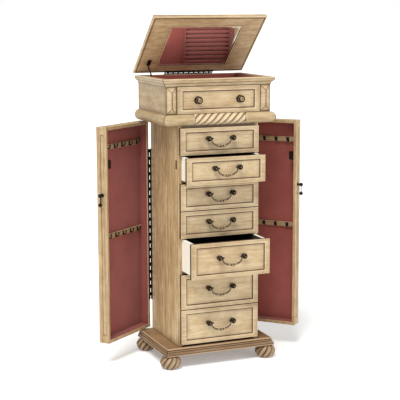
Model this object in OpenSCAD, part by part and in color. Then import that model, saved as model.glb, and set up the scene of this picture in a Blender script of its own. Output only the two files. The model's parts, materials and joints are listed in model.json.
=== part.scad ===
// Free-standing jewelry armoire: a chest of seven drawers between two hinged tray doors,
// with a lined compartment under a mirrored lid and four carved bun feet.
// Millimetres. X runs across the front, Y from front to back, Z up from the floor.
// The origin is on the floor, midway between the four feet.

/* [Feet and plinth] */
// Width over the plinth moulding
plinth_w = 416; // [390:1:500]
// Depth over the plinth moulding
plinth_d = 296; // [270:1:360]
// Height of a foot
foot_h = 48; // [36:1:70]
// Largest radius of a foot
foot_r = 37; // [28:0.5:42]
// Distance from the plinth edge to a foot's centre
foot_inset = 25; // [18:1:45]
// Radius of the glide hole under each foot
glide_r = 3; // [2:0.5:5]
// Depth of the glide hole
glide_depth = 15; // [8:1:30]
// Height of the plinth moulding
plinth_h = 19; // [14:1:30]
// Projection of the moulding beyond the plinth board
plinth_flare = 7.5; // [4:0.5:12]
// Thickness of the board on the plinth
plinth_board_t = 8; // [6:1:16]

/* [Carcass] */
// Width of the drawer carcass
carcass_w = 300; // [260:1:340]
// Setback of the carcass from the plinth's front
carcass_setback = 25; // [18:1:40]
// Thickness of the side panels
side_t = 12; // [9:0.5:18]
// Thickness of the back panel
back_t = 6; // [3:0.5:12]
// Space over the top drawer
top_space = 7; // [4:1:20]
// Space under the bottom drawer front
bottom_space = 7; // [4:1:20]

/* [Drawers] */
// Height taken by each of the four shallow drawers
small_pitch = 96; // [76:1:120]
// Height taken by each of the three deep drawers
large_pitch = 126; // [100:1:150]
// Gap between drawer fronts
front_gap = 3; // [2:0.5:5]
// Reveal of the carcass beside a drawer front
front_reveal = 3.5; // [2:0.5:8]
// Thickness of a drawer front
front_t = 14; // [11:0.5:20]
// Width of the frame round the sunk panel, at the sides
frame_side = 19; // [14:1:30]
// Width of the frame round the sunk panel, top and bottom
frame_edge = 14; // [10:1:24]
// Depth of the sunk panel
sunk = 3; // [1:0.5:5]
// Thickness of the drawer box sides
box_t = 8; // [6:0.5:12]
// Thickness of the drawer bottoms
bottom_t = 3; // [3:0.5:6]
// Length of the drawer boxes
box_d = 250; // [200:1:256]
// Height of the rails and runners that carry the drawers
rail_h = 10; // [8:1:14]
// Depth of the front rails
rail_d = 25; // [18:1:40]
// Width of the side runners
runner_w = 12; // [8:1:16]

/* [Waist and top case] */
// Height of the half-round waist moulding
waist_h = 39; // [30:1:50]
// Width over the waist moulding
waist_w = 420; // [400:1:500]
// Projection of the waist moulding beyond the carcass front
waist_out = 22; // [16:1:30]
// Length of the rope-carved part of the waist moulding
rope_len = 198; // [120:2:260]
// Number of strands in the rope carving
rope_strands = 8; // [5:1:12]
// Width of the top case
case_w = 390; // [380:1:440]
// Height of the top case
case_h = 120; // [110:1:150]
// Thickness of the case boards
case_t = 12; // [9:0.5:16]
// Depth of the compartment under the lid
tray_depth = 56; // [44:1:70]
// Height of the cornice moulding
cornice_h = 26; // [20:1:34]
// Projection of the cornice
cornice_out = 14; // [10:0.5:22]
// Width of the block at each front corner
block_w = 40; // [30:1:60]
// Rise of the block's ridge
block_rise = 9; // [4:0.5:14]
// Thickness of the fixed drawer-look front
false_front_t = 6; // [5:0.5:10]
// Distance between the two knobs
knob_spacing = 157; // [100:1:200]
// Thickness of the felt linings
felt_t = 1.5; // [1:0.25:3]
// Distance between neighbouring ring rolls
roll_pitch = 15.4; // [10:0.2:18]

/* [Lid] */
// Width of the lid
lid_w = 426; // [420:1:520]
// Depth of the lid
lid_d = 293; // [280:1:330]
// Thickness of the lid
lid_t = 15; // [12:0.5:20]
// Width of the mirror
mirror_w = 260; // [180:1:300]
// Height of the mirror
mirror_h = 202; // [140:1:220]
// Distance from the lid's back edge to the mirror
mirror_back = 38; // [30:1:60]
// Thickness of the mirror
mirror_t = 3; // [2:0.5:5]
// Opening of the lid at rest, in degrees
lid_open = 43; // [0:1:45]

/* [Doors] */
// Thickness of a door, which is a tray
door_t = 40; // [30:1:44]
// Front-to-back size of a door
door_d = 268; // [230:1:272]
// Clearance above and below a door
door_gap = 6; // [4:1:12]
// Thickness of the tray walls
wall_t = 11; // [9:0.5:16]
// Thickness of the outer panel of a door
panel_t = 6; // [4:0.5:10]
// Opening of the left door at rest, in degrees
left_open = 53; // [0:1:110]
// Opening of the right door at rest, in degrees
right_open = 42; // [0:1:110]
// Height of the upper row of hooks above the floor
upper_hooks = 772; // [700:1:800]
// Height of the lower row of hooks above the floor
lower_hooks = 456; // [380:1:520]
// Hooks in each row
hooks_per_row = 5; // [3:1:6]
// Distance between hooks
hook_pitch = 46; // [30:1:48]

/* [Hardware] */
// Distance between the two posts of a drawer pull
post_spacing = 92; // [76:1:110]
// Height of a pull's posts above the middle of its drawer front
post_rise = 10; // [4:1:16]
// Radius of a pull's round bosses
boss_r = 9.5; // [7:0.5:12]
// Distance from the drawer front to the bail's axis
bail_out = 12; // [11:0.5:18]
// Radius of the bail's rod
bail_r = 2.8; // [1.6:0.1:3.4]
// Drop of the bail below its axis
bail_drop = 27; // [22:1:31]
// Radius of a hinge barrel
barrel_r = 2.8; // [2.2:0.1:4]
// Length of the door hinges
door_hinge_len = 560; // [280:40:640]
// Length of the lid hinge
lid_hinge_len = 190; // [95:5:240]
// Height of the door pulls above the floor
door_pull_z = 609; // [560:1:660]
// Length of the lid stay between its pins
stay_len = 95; // [95:0.5:97]

/* [Hidden] */
$fn = 48;

wood = "burlywood";
dark_metal = "dimgray";
felt = "indianred";

// Clearances: between parts that slide, between parts that swing, inside pin holes and round a bail's pins.
slide_gap = 0.5;
swing_gap = 1.5;
pin_gap = 0.05;
bail_gap = 0.2;
tiny = 0.01;

// Depths, front to back.
plinth_front = -plinth_d / 2;
rear = plinth_d / 2;
carcass_front = plinth_front + carcass_setback;
carcass_d = rear - carcass_front;

// Heights, from the floor up.
plinth_z = foot_h;
board_z = plinth_z + plinth_h;
carcass_z = board_z + plinth_board_t;
drawers_z = carcass_z + bottom_space;
pitches = [small_pitch, small_pitch, small_pitch, small_pitch, large_pitch, large_pitch, large_pitch];
function sum_to(n) = n == 0 ? 0 : pitches[n - 1] + sum_to(n - 1);
drawers_top = drawers_z + sum_to(7);
carcass_top = drawers_top + top_space;
case_z = carcass_top + waist_h;
case_top = case_z + case_h;
tray_z = case_top - tray_depth;

// How far each drawer stands out of the cabinet at rest.
drawer_out = [0, 55, 0, 0, 94, 0, 0];
function front_z(n) = drawers_top - sum_to(n) + front_gap / 2;
function front_h(n) = pitches[n - 1] - front_gap;
front_w = carcass_w - 2 * front_reveal;
front_face = carcass_front - slide_gap - front_t;
inner_w = carcass_w - 2 * side_t;
box_w = inner_w - 2 * slide_gap;
function box_z(n) = front_z(n) + rail_h;
function box_h(n) = pitches[n - 1] - rail_h - 4;
boss_x = post_spacing / 2;
bail_axis_y = front_face - bail_out;
bail_end_r = bail_r + 0.5;
bail_half = boss_x - boss_r - bail_end_r - 0.3;
bail_arc_r = (bail_half * bail_half + bail_drop * bail_drop) / (2 * bail_drop);
bail_pin_r = 1.5;

// Doors.
door_x = carcass_w / 2 + swing_gap;
door_rear = rear - 7;
door_front = door_rear - door_d;
door_z0 = carcass_z + door_gap;
door_z1 = carcass_top - door_gap;
door_axis_x = carcass_w / 2 + swing_gap / 2;
door_axis_y = rear + barrel_r + 0.3;
knuckle = 14;
knuckle_gap = 1;
leaf_t = 0.6;
fixed_leaf_w = 5;
moving_leaf_w = 6;
door_mid_z = (door_z0 + door_z1) / 2;
catch_z = door_mid_z + 253;
catch_h = 30;
catch_y = door_front + wall_t + 12;
hook_row_y = (door_front + door_rear) / 2;
row_rail_h = 18;
row_rail_t = 8;
drop_out = 13;

// Lid.
lid_gap = 2;
lid_z = case_top + lid_gap;
lid_rear = rear - 1;
lid_front = lid_rear - lid_d;
lid_axis_y = rear + 5;
lid_axis_z = lid_z - 1;
lid_leaf_t = 1.2;
lid_leaf_w = 8;
lid_knuckle = lid_hinge_len / 19;
lid_knuckle_gap = 3;
stay_x = -(case_w / 2 - case_t - felt_t) + 4;
stay_t = 2;
stay_w = 8;
stay_pin_r = 2;
stay_pivot = [lid_rear - 58, lid_z - 8];
stay_slot_z = tray_z + 30;
function lid_turned(p, a) =
    let (y = p[0] - lid_axis_y, z = p[1] - lid_axis_z)
    [lid_axis_y + y * cos(a) + z * sin(a), lid_axis_z - y * sin(a) + z * cos(a)];
function slot_y(a) =
    let (p = lid_turned(stay_pivot, a))
    p[0] - sqrt(stay_len * stay_len - pow(p[1] - stay_slot_z, 2));
function stay_tilt(a) = asin((lid_turned(stay_pivot, a)[1] - stay_slot_z) / stay_len);

// A block between two corners.
module block(low, high) {
    translate(low) cube([high[0] - low[0], high[1] - low[1], high[2] - low[2]]);
}

// One straight run of a moulding whose outline is drawn as [distance in from the edge, height].
// It runs along X with its outer edge at Y = 0, and both ends are cut at 45 degrees.
module mitred_run(len, deep) {
    intersection() {
        translate([-len / 2, 0, 0]) rotate([90, 0, 90]) linear_extrude(len) children();
        translate([0, 0, -1]) linear_extrude(200)
            polygon([[-len / 2, 0], [len / 2, 0], [len / 2 - deep, deep], [deep - len / 2, deep]]);
    }
}

// The same moulding down one side, mitred at the front and cut square at the back.
module side_run(len, deep) {
    intersection() {
        rotate([90, 0, 0]) translate([0, 0, -len]) linear_extrude(len) children();
        translate([0, 0, -1]) linear_extrude(200)
            polygon([[0, 0], [deep, deep], [deep, len], [0, len]]);
    }
}

// A moulding across the front and down both sides of a case.
module three_sides(w, front, z, deep) {
    translate([0, front, z]) mitred_run(w, deep) children();
    both_sides() translate([-w / 2, front, z]) side_run(rear - front, deep) children();
}

module both_sides() {
    children();
    mirror([1, 0, 0]) children();
}

module right_side() {
    mirror([1, 0, 0]) children();
}

// ---- feet and plinth ----

// A bun foot: a flattened ball, cut off where the turning angle reaches foot_cut.
foot_cut = 64;
foot_steps = 16;
function foot_outline() = [for (i = [0:foot_steps])
    let (a = foot_cut * (2 * i / foot_steps - 1))
    [foot_r * cos(a), foot_h / 2 * (1 + sin(a) / sin(foot_cut))]];

module bun_feet() {
    color(wood)
        for (x = [-1, 1], y = [-1, 1])
            translate([x * (plinth_w / 2 - foot_inset), y * (plinth_d / 2 - foot_inset), 0])
                difference() {
                    rotate_extrude() polygon(concat([[0, 0]], foot_outline(), [[0, foot_h]]));
                    translate([0, 0, -tiny]) cylinder(r = glide_r, h = glide_depth + tiny);
                }
}

// The plinth moulding flares out to a square foot fillet.
plinth_deep = 46;
module plinth_outline() {
    f = plinth_flare;
    h = plinth_h;
    polygon(concat(
        [[0, 0], [0, 0.26 * h]],
        [for (i = [0:6]) let (a = 15 * i) [f * (0.15 + 0.85 * (1 - cos(a))), h * (0.3 + 0.5 * sin(a))]],
        [[f + 1, 0.84 * h], [f + 1, h], [plinth_deep, h], [plinth_deep, 0]]));
}

module plinth_moulding() {
    color(wood) three_sides(plinth_w, plinth_front, plinth_z, plinth_deep) plinth_outline();
    color(wood) block([plinth_deep - plinth_w / 2, rear - plinth_deep, plinth_z],
                      [plinth_w / 2 - plinth_deep, rear, board_z]);
}

module plinth_board() {
    color(wood) block([plinth_flare - plinth_w / 2, plinth_front + plinth_flare, board_z],
                      [plinth_w / 2 - plinth_flare, rear, carcass_z]);
}

// ---- carcass ----

module left_side_panel() {
    color(wood) block([-carcass_w / 2, carcass_front, carcass_z],
                      [side_t - carcass_w / 2, rear, carcass_top]);
}

module right_side_panel() {
    right_side() left_side_panel();
}

module back_panel() {
    color(wood) block([-inner_w / 2, rear - back_t, carcass_z], [inner_w / 2, rear, carcass_top]);
}

// A front rail and two side runners under every drawer, and a rail over the top one.
module drawer_runners() {
    color(wood) {
        for (n = [1:7]) {
            z = front_z(n);
            top = z + rail_h - 0.3;
            block([-inner_w / 2, carcass_front, z], [inner_w / 2, carcass_front + rail_d, top]);
            both_sides()
                block([-inner_w / 2, carcass_front + rail_d, z],
                      [runner_w - inner_w / 2, rear - back_t, top]);
        }
        block([-inner_w / 2, carcass_front, drawers_top - 2],
              [inner_w / 2, carcass_front + rail_d, carcass_top]);
    }
}

// ---- waist moulding ----

waist_deep = 40;
waist_front = carcass_front - waist_out;
module waist_outline() {
    r = waist_h / 2;
    translate([r, r]) circle(r);
    translate([r, 0]) square([waist_deep - r, waist_h]);
}

module rope_slot(grow) {
    block([-rope_len / 2 - grow, waist_front - 5, carcass_top - 5],
          [rope_len / 2 + grow, waist_front + waist_h / 2, case_z + 5]);
}

module waist_moulding() {
    color(wood) {
        translate([0, waist_front, carcass_top]) difference() {
            mitred_run(waist_w, waist_deep) waist_outline();
            translate([0, -waist_front, -carcass_top]) rope_slot(0);
        }
        both_sides() translate([-waist_w / 2, waist_front, carcass_top])
            side_run(rear - waist_front, waist_deep) waist_outline();
        // floor of the top case, and the board that closes the back under it
        block([waist_deep - waist_w / 2, waist_front + waist_deep, case_z - case_t],
              [waist_w / 2 - waist_deep, rear, case_z]);
        block([waist_deep - waist_w / 2, rear - back_t, carcass_top],
              [waist_w / 2 - waist_deep, rear, case_z - case_t]);
    }
}

// The rope is a half-round with slanting flutes.
module rope_carving() {
    r = waist_h / 2;
    flute = rope_len / rope_strands;
    color(wood) difference() {
        intersection() {
            translate([-rope_len / 2, waist_front + r, carcass_top + r])
                rotate([0, 90, 0]) cylinder(r = r, h = rope_len, $fn = 64);
            rope_slot(0);
        }
        for (i = [0:rope_strands - 1])
            translate([(i + 0.5) * flute - rope_len / 2, waist_front - 0.6, carcass_top + r])
                rotate([0, 38, 0]) cylinder(r = 2, h = 3 * waist_h, center = true, $fn = 24);
    }
}

// ---- top case ----

module upper_case() {
    hw = case_w / 2;
    color(wood) {
        both_sides() block([-hw, carcass_front, case_z], [case_t - hw, rear, case_top]);
        block([case_t - hw, carcass_front, case_z], [hw - case_t, carcass_front + case_t, case_top]);
        block([case_t - hw, rear - case_t, case_z], [hw - case_t, rear, case_top]);
        block([case_t - hw, carcass_front + case_t, tray_z - 6], [hw - case_t, rear - case_t, tray_z]);
        both_sides() corner_block();
    }
}

// A block with a long hipped face at each front corner.
module corner_block() {
    x0 = -case_w / 2;
    x1 = x0 + block_w;
    xm = (x0 + x1) / 2;
    z0 = case_z;
    z1 = case_top - cornice_h;
    rise = block_w / 2;
    base = carcass_front;
    face = base - 3;
    ridge = face - block_rise;
    polyhedron(
        points = [[x0, base, z0], [x1, base, z0], [x1, base, z1], [x0, base, z1],
                  [x0, face, z0], [x1, face, z0], [x1, face, z1], [x0, face, z1],
                  [xm, ridge, z0 + rise], [xm, ridge, z1 - rise]],
        faces = [[0, 1, 2, 3], [0, 4, 5, 1], [1, 5, 6, 2], [2, 6, 7, 3], [3, 7, 4, 0],
                 [4, 8, 5], [5, 8, 9, 6], [6, 9, 7], [7, 9, 8, 4]]);
}

// The cornice: a fillet under the rim, an ovolo and a cove down to the case.
module cornice_outline() {
    o = cornice_out;
    h = cornice_h;
    polygon(concat(
        [[o, 0], [0.78 * o, 0], [0.78 * o, 0.1 * h]],
        [for (i = [0:6]) let (a = 15 * i) [o * (0.78 - 0.4 * (1 - cos(a))), h * (0.12 + 0.36 * sin(a))]],
        [for (i = [0:6]) let (a = 15 * i) [o * (0.36 - 0.36 * sin(a)), h * (0.52 + 0.24 * (1 - cos(a)))]],
        [[0, h], [o, h]]));
}

module cornice_moulding() {
    color(wood) three_sides(case_w + 2 * cornice_out, carcass_front - cornice_out,
                            case_top - cornice_h, cornice_out) cornice_outline();
}

module false_drawer_front() {
    w = case_w - 2 * block_w - 3;
    h = case_h - cornice_h - 3;
    zc = case_z + 1.5 + h / 2;
    y0 = carcass_front - false_front_t;
    color(wood) difference() {
        block([-w / 2, y0, zc - h / 2], [w / 2, carcass_front, zc + h / 2]);
        block([frame_side - w / 2, y0 - 1, zc - h / 2 + frame_edge],
              [w / 2 - frame_side, y0 + sunk, zc + h / 2 - frame_edge]);
    }
}

module top_knobs() {
    zc = case_z + (case_h - cornice_h) / 2;
    y0 = carcass_front - false_front_t + sunk;
    color(dark_metal) for (x = [-1, 1]) translate([x * knob_spacing / 2, y0, zc]) rotate([90, 0, 0])
        rotate_extrude() polygon([[0, 0], [14, 0], [14, 1.2], [12, 2.4], [5, 3], [4.5, 9], [9, 12],
                                  [12.4, 15], [12.4, 18], [10.5, 21], [6, 23.2], [0, 24]]);
}

// ---- the compartment ----

tray_x = case_w / 2 - case_t;
tray_y0 = carcass_front + case_t;
tray_y1 = rear - case_t;
module tray_lining() {
    top = case_top - 3;
    z = tray_z + felt_t;
    color(felt) {
        block([-tray_x, tray_y0, tray_z], [tray_x, tray_y1, z]);
        block([-tray_x, tray_y0, z], [felt_t - tray_x, tray_y1, top]);
        block([tray_x - felt_t, tray_y0, z], [tray_x, tray_y1, top]);
        block([felt_t - tray_x, tray_y0, z], [tray_x - felt_t, tray_y0 + felt_t, top]);
        block([felt_t - tray_x, tray_y1 - felt_t, z], [tray_x - felt_t, tray_y1, top]);
        block([-2, tray_y0 + felt_t, z], [2, tray_y1 - felt_t, z + 26]);
    }
}

// Padded rolls that hold rings between them, in the right half of the compartment.
roll_r = roll_pitch / 2 - 0.1;
roll_count = floor((tray_y1 - tray_y0 - 2 * felt_t - 1) / roll_pitch);
module ring_rolls() {
    y0 = (tray_y0 + tray_y1) / 2 - (roll_count - 1) / 2 * roll_pitch;
    color(felt) for (i = [0:roll_count - 1])
        translate([3, y0 + i * roll_pitch, tray_z + felt_t + roll_r + 0.2])
            rotate([0, 90, 0]) cylinder(r = roll_r, h = tray_x - felt_t - 4, $fn = 32);
}

// ---- hinges ----

// Knuckles along Z on an axis at the origin, every second one from the given start, with a gap
// between neighbours. The children are the outline of the finger that joins a knuckle to its leaf.
// Loose knuckles are bored for the pin, and the others are solid with it.
hinge_pin_r = barrel_r / 2;
module knuckles(len, size, gap, first, loose) {
    for (k = [first:2:round(len / size) - 1])
        translate([0, 0, k * size - len / 2 + gap / 2]) difference() {
            union() {
                cylinder(r = barrel_r, h = size - gap, $fn = 32);
                linear_extrude(size - gap) children();
            }
            if (loose) translate([0, 0, -1]) cylinder(r = hinge_pin_r + pin_gap, h = size + 2, $fn = 32);
        }
}

module finger(low, high) {
    translate(low) square([high[0] - low[0], high[1] - low[1]]);
}

// The fixed leaf of the left door's hinge, with the pin.
hinge_half = swing_gap / 2;
hinge_reach = door_axis_y - rear;
module door_leaf_fixed() {
    translate([-door_axis_x, door_axis_y, door_mid_z]) {
        block([hinge_half - leaf_t, -hinge_reach - fixed_leaf_w, -door_hinge_len / 2],
              [hinge_half, -hinge_reach, door_hinge_len / 2]);
        knuckles(door_hinge_len, knuckle, knuckle_gap, 0, false)
            finger([hinge_half - leaf_t, -hinge_reach - 1], [hinge_half, 0]);
        cylinder(r = hinge_pin_r, h = door_hinge_len, center = true, $fn = 32);
    }
}

// The lid's axis runs along X; here local X points down and local Z along the axis.
module lid_axis() {
    translate([0, lid_axis_y, lid_axis_z]) rotate([0, 90, 0]) children();
}

module lid_leaf_fixed() {
    reach = lid_axis_y - rear;
    block([-lid_hinge_len / 2, rear, lid_axis_z - 22],
          [lid_hinge_len / 2, rear + lid_leaf_t, lid_axis_z - barrel_r - 0.6]);
    lid_axis() {
        knuckles(lid_hinge_len, lid_knuckle, lid_knuckle_gap, 0, false)
            finger([barrel_r - 0.6, -reach], [barrel_r + 1.2, 0]);
        cylinder(r = hinge_pin_r, h = lid_hinge_len, center = true, $fn = 32);
    }
}

module cabinet_hinge_leaves() {
    color(dark_metal) {
        both_sides() door_leaf_fixed();
        lid_leaf_fixed();
    }
}

// Steel plates on the carcass sides, which the magnets in the doors meet.
module catch_strikes() {
    color(dark_metal) both_sides()
        block([-carcass_w / 2 - 0.8, catch_y - 4.5, catch_z - catch_h / 2],
              [-carcass_w / 2, catch_y + 4.5, catch_z + catch_h / 2]);
}

// ---- doors, drawn closed on the left side ----

module swing_left() {
    translate([-door_axis_x, door_axis_y, 0]) rotate([0, 0, -left_open])
        translate([door_axis_x, -door_axis_y, 0]) children();
}

module swing_right() {
    right_side() translate([-door_axis_x, door_axis_y, 0]) rotate([0, 0, -right_open])
        translate([door_axis_x, -door_axis_y, 0]) children();
}

tray_out = door_x + door_t - panel_t;

// The shallow sunk field on a door's front edge: its margins at the back, the lip and the ends.
stile_back = 9;
stile_lip = 11;
stile_end = 28;
module door_case() {
    color(wood) {
        difference() {
            block([-tray_out, door_front, door_z0], [-door_x, door_front + wall_t, door_z1]);
            block([-tray_out + stile_back, door_front - 1, door_z0 + stile_end],
                  [-door_x - stile_lip, door_front + 2, door_z1 - stile_end]);
        }
        block([-tray_out, door_rear - wall_t, door_z0], [-door_x, door_rear, door_z1]);
        block([-tray_out, door_front + wall_t, door_z0], [-door_x, door_rear - wall_t, door_z0 + wall_t]);
        block([-tray_out, door_front + wall_t, door_z1 - wall_t], [-door_x, door_rear - wall_t, door_z1]);
        block([-door_x - door_t, door_front, door_z0], [-tray_out, door_rear, door_z1]);
    }
}

module door_lining() {
    y0 = door_front + wall_t;
    y1 = door_rear - wall_t;
    z0 = door_z0 + wall_t;
    z1 = door_z1 - wall_t;
    x0 = felt_t - tray_out;
    x1 = -door_x - 2;
    color(felt) {
        block([-tray_out, y0, z0], [x0, y1, z1]);
        block([x0, y0, z0], [x1, y0 + felt_t, z1]);
        block([x0, y1 - felt_t, z0], [x1, y1, z1]);
        block([x0, y0 + felt_t, z0], [x1, y1 - felt_t, z0 + felt_t]);
        block([x0, y0 + felt_t, z1 - felt_t], [x1, y1 - felt_t, z1]);
    }
}

rail_x = felt_t - tray_out;
module hook_rails() {
    half = door_d / 2 - wall_t - felt_t - 0.5;
    color(wood) for (z = [upper_hooks, lower_hooks])
        block([rail_x, hook_row_y - half, z - row_rail_h / 2],
              [rail_x + row_rail_t, hook_row_y + half, z + row_rail_h / 2]);
}

// A hook: a small plate, an arm and a quarter turn up to a ball.
hook_wire = 2;
hook_arm = 7;
hook_bend = 6;
module hook() {
    block([0, -4, -8], [1, 4, 8]);
    translate([0, 0, -4]) rotate([0, 90, 0]) cylinder(r = hook_wire, h = hook_arm, $fn = 20);
    translate([hook_arm, 0, hook_bend - 4]) rotate([90, 0, 0]) rotate([0, 0, -90])
        rotate_extrude(angle = 90, $fn = 32) translate([hook_bend, 0]) circle(hook_wire, $fn = 20);
    translate([hook_arm + hook_bend, 0, hook_bend - 4]) cylinder(r = hook_wire, h = 4, $fn = 20);
    translate([hook_arm + hook_bend, 0, hook_bend + 1]) sphere(3.2, $fn = 24);
}

pull_x = -(tray_out - stile_back + door_x + stile_lip) / 2;
pull_y = door_front - drop_out;
pull_ball_r = 7;
drop_pin_r = 1.3;
module door_fittings() {
    color(dark_metal) {
        for (z = [upper_hooks, lower_hooks], i = [0:hooks_per_row - 1])
            translate([rail_x + row_rail_t, hook_row_y + (i - (hooks_per_row - 1) / 2) * hook_pitch, z])
                hook();
        // magnet
        block([-door_x - 8, door_front + wall_t + felt_t, catch_z - catch_h / 2],
              [-door_x - 0.4, catch_y + 6, catch_z + catch_h / 2]);
        // moving leaf of the hinge, with a long finger to each knuckle
        translate([-door_axis_x, door_axis_y, door_mid_z]) {
            edge = door_rear - door_axis_y;
            block([-hinge_half, edge - moving_leaf_w, -door_hinge_len / 2],
                  [leaf_t - hinge_half, edge + 2.5, door_hinge_len / 2]);
            knuckles(door_hinge_len, knuckle, knuckle_gap, 1, true)
                finger([-hinge_half, edge - 1], [leaf_t - hinge_half, 0]);
        }
        // rosette, neck and ball of the pull
        difference() {
            union() {
                translate([pull_x, door_front, door_pull_z]) rotate([90, 0, 0]) {
                    translate([0, 0, -2]) cylinder(r = 3, h = drop_out - 2);
                    cylinder(r = 6.4, h = 2);
                }
                translate([pull_x, pull_y, door_pull_z]) rotate([0, 0, 45]) sphere(pull_ball_r, $fn = 32);
            }
            translate([pull_x - 10, pull_y, door_pull_z]) rotate([0, 90, 0])
                cylinder(r = drop_pin_r, h = 20, $fn = 24);
            block([pull_x - 1.7, pull_y - 9, door_pull_z - 9], [pull_x + 1.7, pull_y + 4, door_pull_z + 4]);
        }
        translate([pull_x - pull_ball_r + 0.2, pull_y, door_pull_z]) rotate([0, 90, 0])
            cylinder(r = drop_pin_r, h = 2 * pull_ball_r - 0.4, $fn = 24);
    }
}

// The drop that swings on the pull's pin: an eye, a link and a tapered finial.
module door_drop() {
    color(dark_metal) translate([pull_x, pull_y, door_pull_z]) difference() {
        union() {
            rotate([0, 90, 0]) cylinder(r = 2.9, h = 2.6, center = true, $fn = 32);
            translate([0, 0, -27]) cylinder(r = 1.4, h = 25, $fn = 24);
            translate([0, 0, -40]) rotate_extrude() polygon([[0, 0], [2, 0.4], [5.6, 3.6], [7.6, 7.4],
                [6.2, 11], [2.2, 13], [3.4, 13.8], [2, 14.8], [0, 15.2]]);
        }
        rotate([0, 90, 0]) cylinder(r = drop_pin_r + pin_gap, h = 20, center = true, $fn = 24);
    }
}

// ---- lid, drawn closed ----

module swing_lid() {
    translate([0, lid_axis_y, lid_axis_z]) rotate([-lid_open, 0, 0])
        translate([0, -lid_axis_y, -lid_axis_z]) children();
}

module lid_frame() {
    mirror_rear = lid_rear - mirror_back;
    color(wood) swing_lid() difference() {
        block([-lid_w / 2, lid_front, lid_z], [lid_w / 2, lid_rear, lid_z + lid_t]);
        block([-mirror_w / 2, mirror_rear - mirror_h, lid_z - 1],
              [mirror_w / 2, mirror_rear, lid_z + mirror_t + 2]);
    }
}

module lid_mirror() {
    mirror_rear = lid_rear - mirror_back;
    color("lightsteelblue") swing_lid()
        block([0.5 - mirror_w / 2, mirror_rear - mirror_h + 0.5, lid_z + 2],
              [mirror_w / 2 - 0.5, mirror_rear - 0.5, lid_z + 2 + mirror_t]);
}

// The lid's hinge leaf, and the bracket that carries the stay.
module lid_fittings() {
    color(dark_metal) swing_lid() {
        block([-lid_hinge_len / 2, lid_rear - lid_leaf_w, lid_z - lid_leaf_t],
              [lid_hinge_len / 2, lid_rear, lid_z]);
        lid_axis() knuckles(lid_hinge_len, lid_knuckle, lid_knuckle_gap, 1, true)
            finger([-1, lid_rear - lid_axis_y - 1], [lid_leaf_t - 1, 0]);
        block([stay_x + stay_t + 0.4, stay_pivot[0] - 14, lid_z - 1.5],
              [stay_x + stay_t + 14, stay_pivot[0] + 14, lid_z]);
        block([stay_x + stay_t + 0.4, stay_pivot[0] - 5, stay_pivot[1] - 5],
              [stay_x + stay_t + 2.4, stay_pivot[0] + 5, lid_z]);
        translate([stay_x - 0.5, stay_pivot[0], stay_pivot[1]]) rotate([0, 90, 0])
            cylinder(r = stay_pin_r, h = stay_t + 1.2, $fn = 24);
    }
}

// The stay turns on the lid's bracket, and its pin runs in the slot of the plate on the case.
module lid_stay_arm() {
    p = lid_turned(stay_pivot, lid_open);
    color(dark_metal) translate([stay_x, p[0], p[1]]) rotate([stay_tilt(lid_open), 0, 0]) {
        difference() {
            union() {
                translate([0, -stay_len, -stay_w / 2]) cube([stay_t, stay_len, stay_w]);
                for (y = [0, -stay_len])
                    translate([0, y, 0]) rotate([0, 90, 0]) cylinder(r = stay_w / 2, h = stay_t);
            }
            translate([-1, 0, 0]) rotate([0, 90, 0])
                cylinder(r = stay_pin_r + pin_gap, h = stay_t + 2, $fn = 24);
        }
        translate([-2.6, -stay_len, 0]) rotate([0, 90, 0]) cylinder(r = stay_pin_r, h = 2.6, $fn = 24);
    }
}

stay_slot_r = stay_pin_r + 1;
module stay_plate() {
    y0 = slot_y(0) - 1;
    y1 = slot_y(45) + 1;
    x0 = -tray_x + felt_t;
    x1 = stay_x - 1;
    color(dark_metal) difference() {
        block([x0, y0 - 10, stay_slot_z - 7], [x1, y1 + 10, stay_slot_z + 7]);
        for (y = [y0, y1]) translate([x0 - 1, y, stay_slot_z]) rotate([0, 90, 0])
            cylinder(r = stay_slot_r, h = x1 - x0 + 2, $fn = 24);
        block([x0 - 1, y0, stay_slot_z - stay_slot_r], [x1 + 1, y1, stay_slot_z + stay_slot_r]);
    }
}

// ---- drawers, numbered from the top ----

module drawer_front(n) {
    z0 = front_z(n);
    z1 = z0 + front_h(n);
    color(wood) translate([0, -drawer_out[n - 1], 0]) difference() {
        block([-front_w / 2, front_face, z0], [front_w / 2, front_face + front_t, z1]);
        block([frame_side - front_w / 2, front_face - 1, z0 + frame_edge],
              [front_w / 2 - frame_side, front_face + sunk, z1 - frame_edge]);
    }
}

module drawer_box(n) {
    z0 = box_z(n);
    z1 = z0 + box_h(n);
    y0 = front_face + front_t;
    y1 = y0 + box_d;
    hw = box_w / 2;
    color("ivory") translate([0, -drawer_out[n - 1], 0]) {
        both_sides() block([-hw, y0, z0], [box_t - hw, y1, z1]);
        block([box_t - hw, y1 - box_t, z0], [hw - box_t, y1, z1]);
        block([box_t - hw, y0, z0 + 4], [hw - box_t, y1 - box_t, z0 + 4 + bottom_t]);
    }
}

function post_z(n) = front_z(n) + front_h(n) / 2 + post_rise;

// A round boss on a neck, bored for the end of the bail.
module drawer_posts(n) {
    color(dark_metal) translate([0, -drawer_out[n - 1], post_z(n)])
        both_sides() difference() {
            union() {
                translate([-boss_x, front_face + sunk, 0]) rotate([90, 0, 0]) cylinder(r = 4.5, h = bail_out);
                translate([-boss_x, bail_axis_y, 0]) rotate([0, 0, -135]) sphere(boss_r);
            }
            translate([-boss_x - 2, bail_axis_y, 0]) rotate([0, 90, 0])
                cylinder(r = bail_pin_r + bail_gap, h = boss_r + 4, $fn = 32);
        }
}

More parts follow.
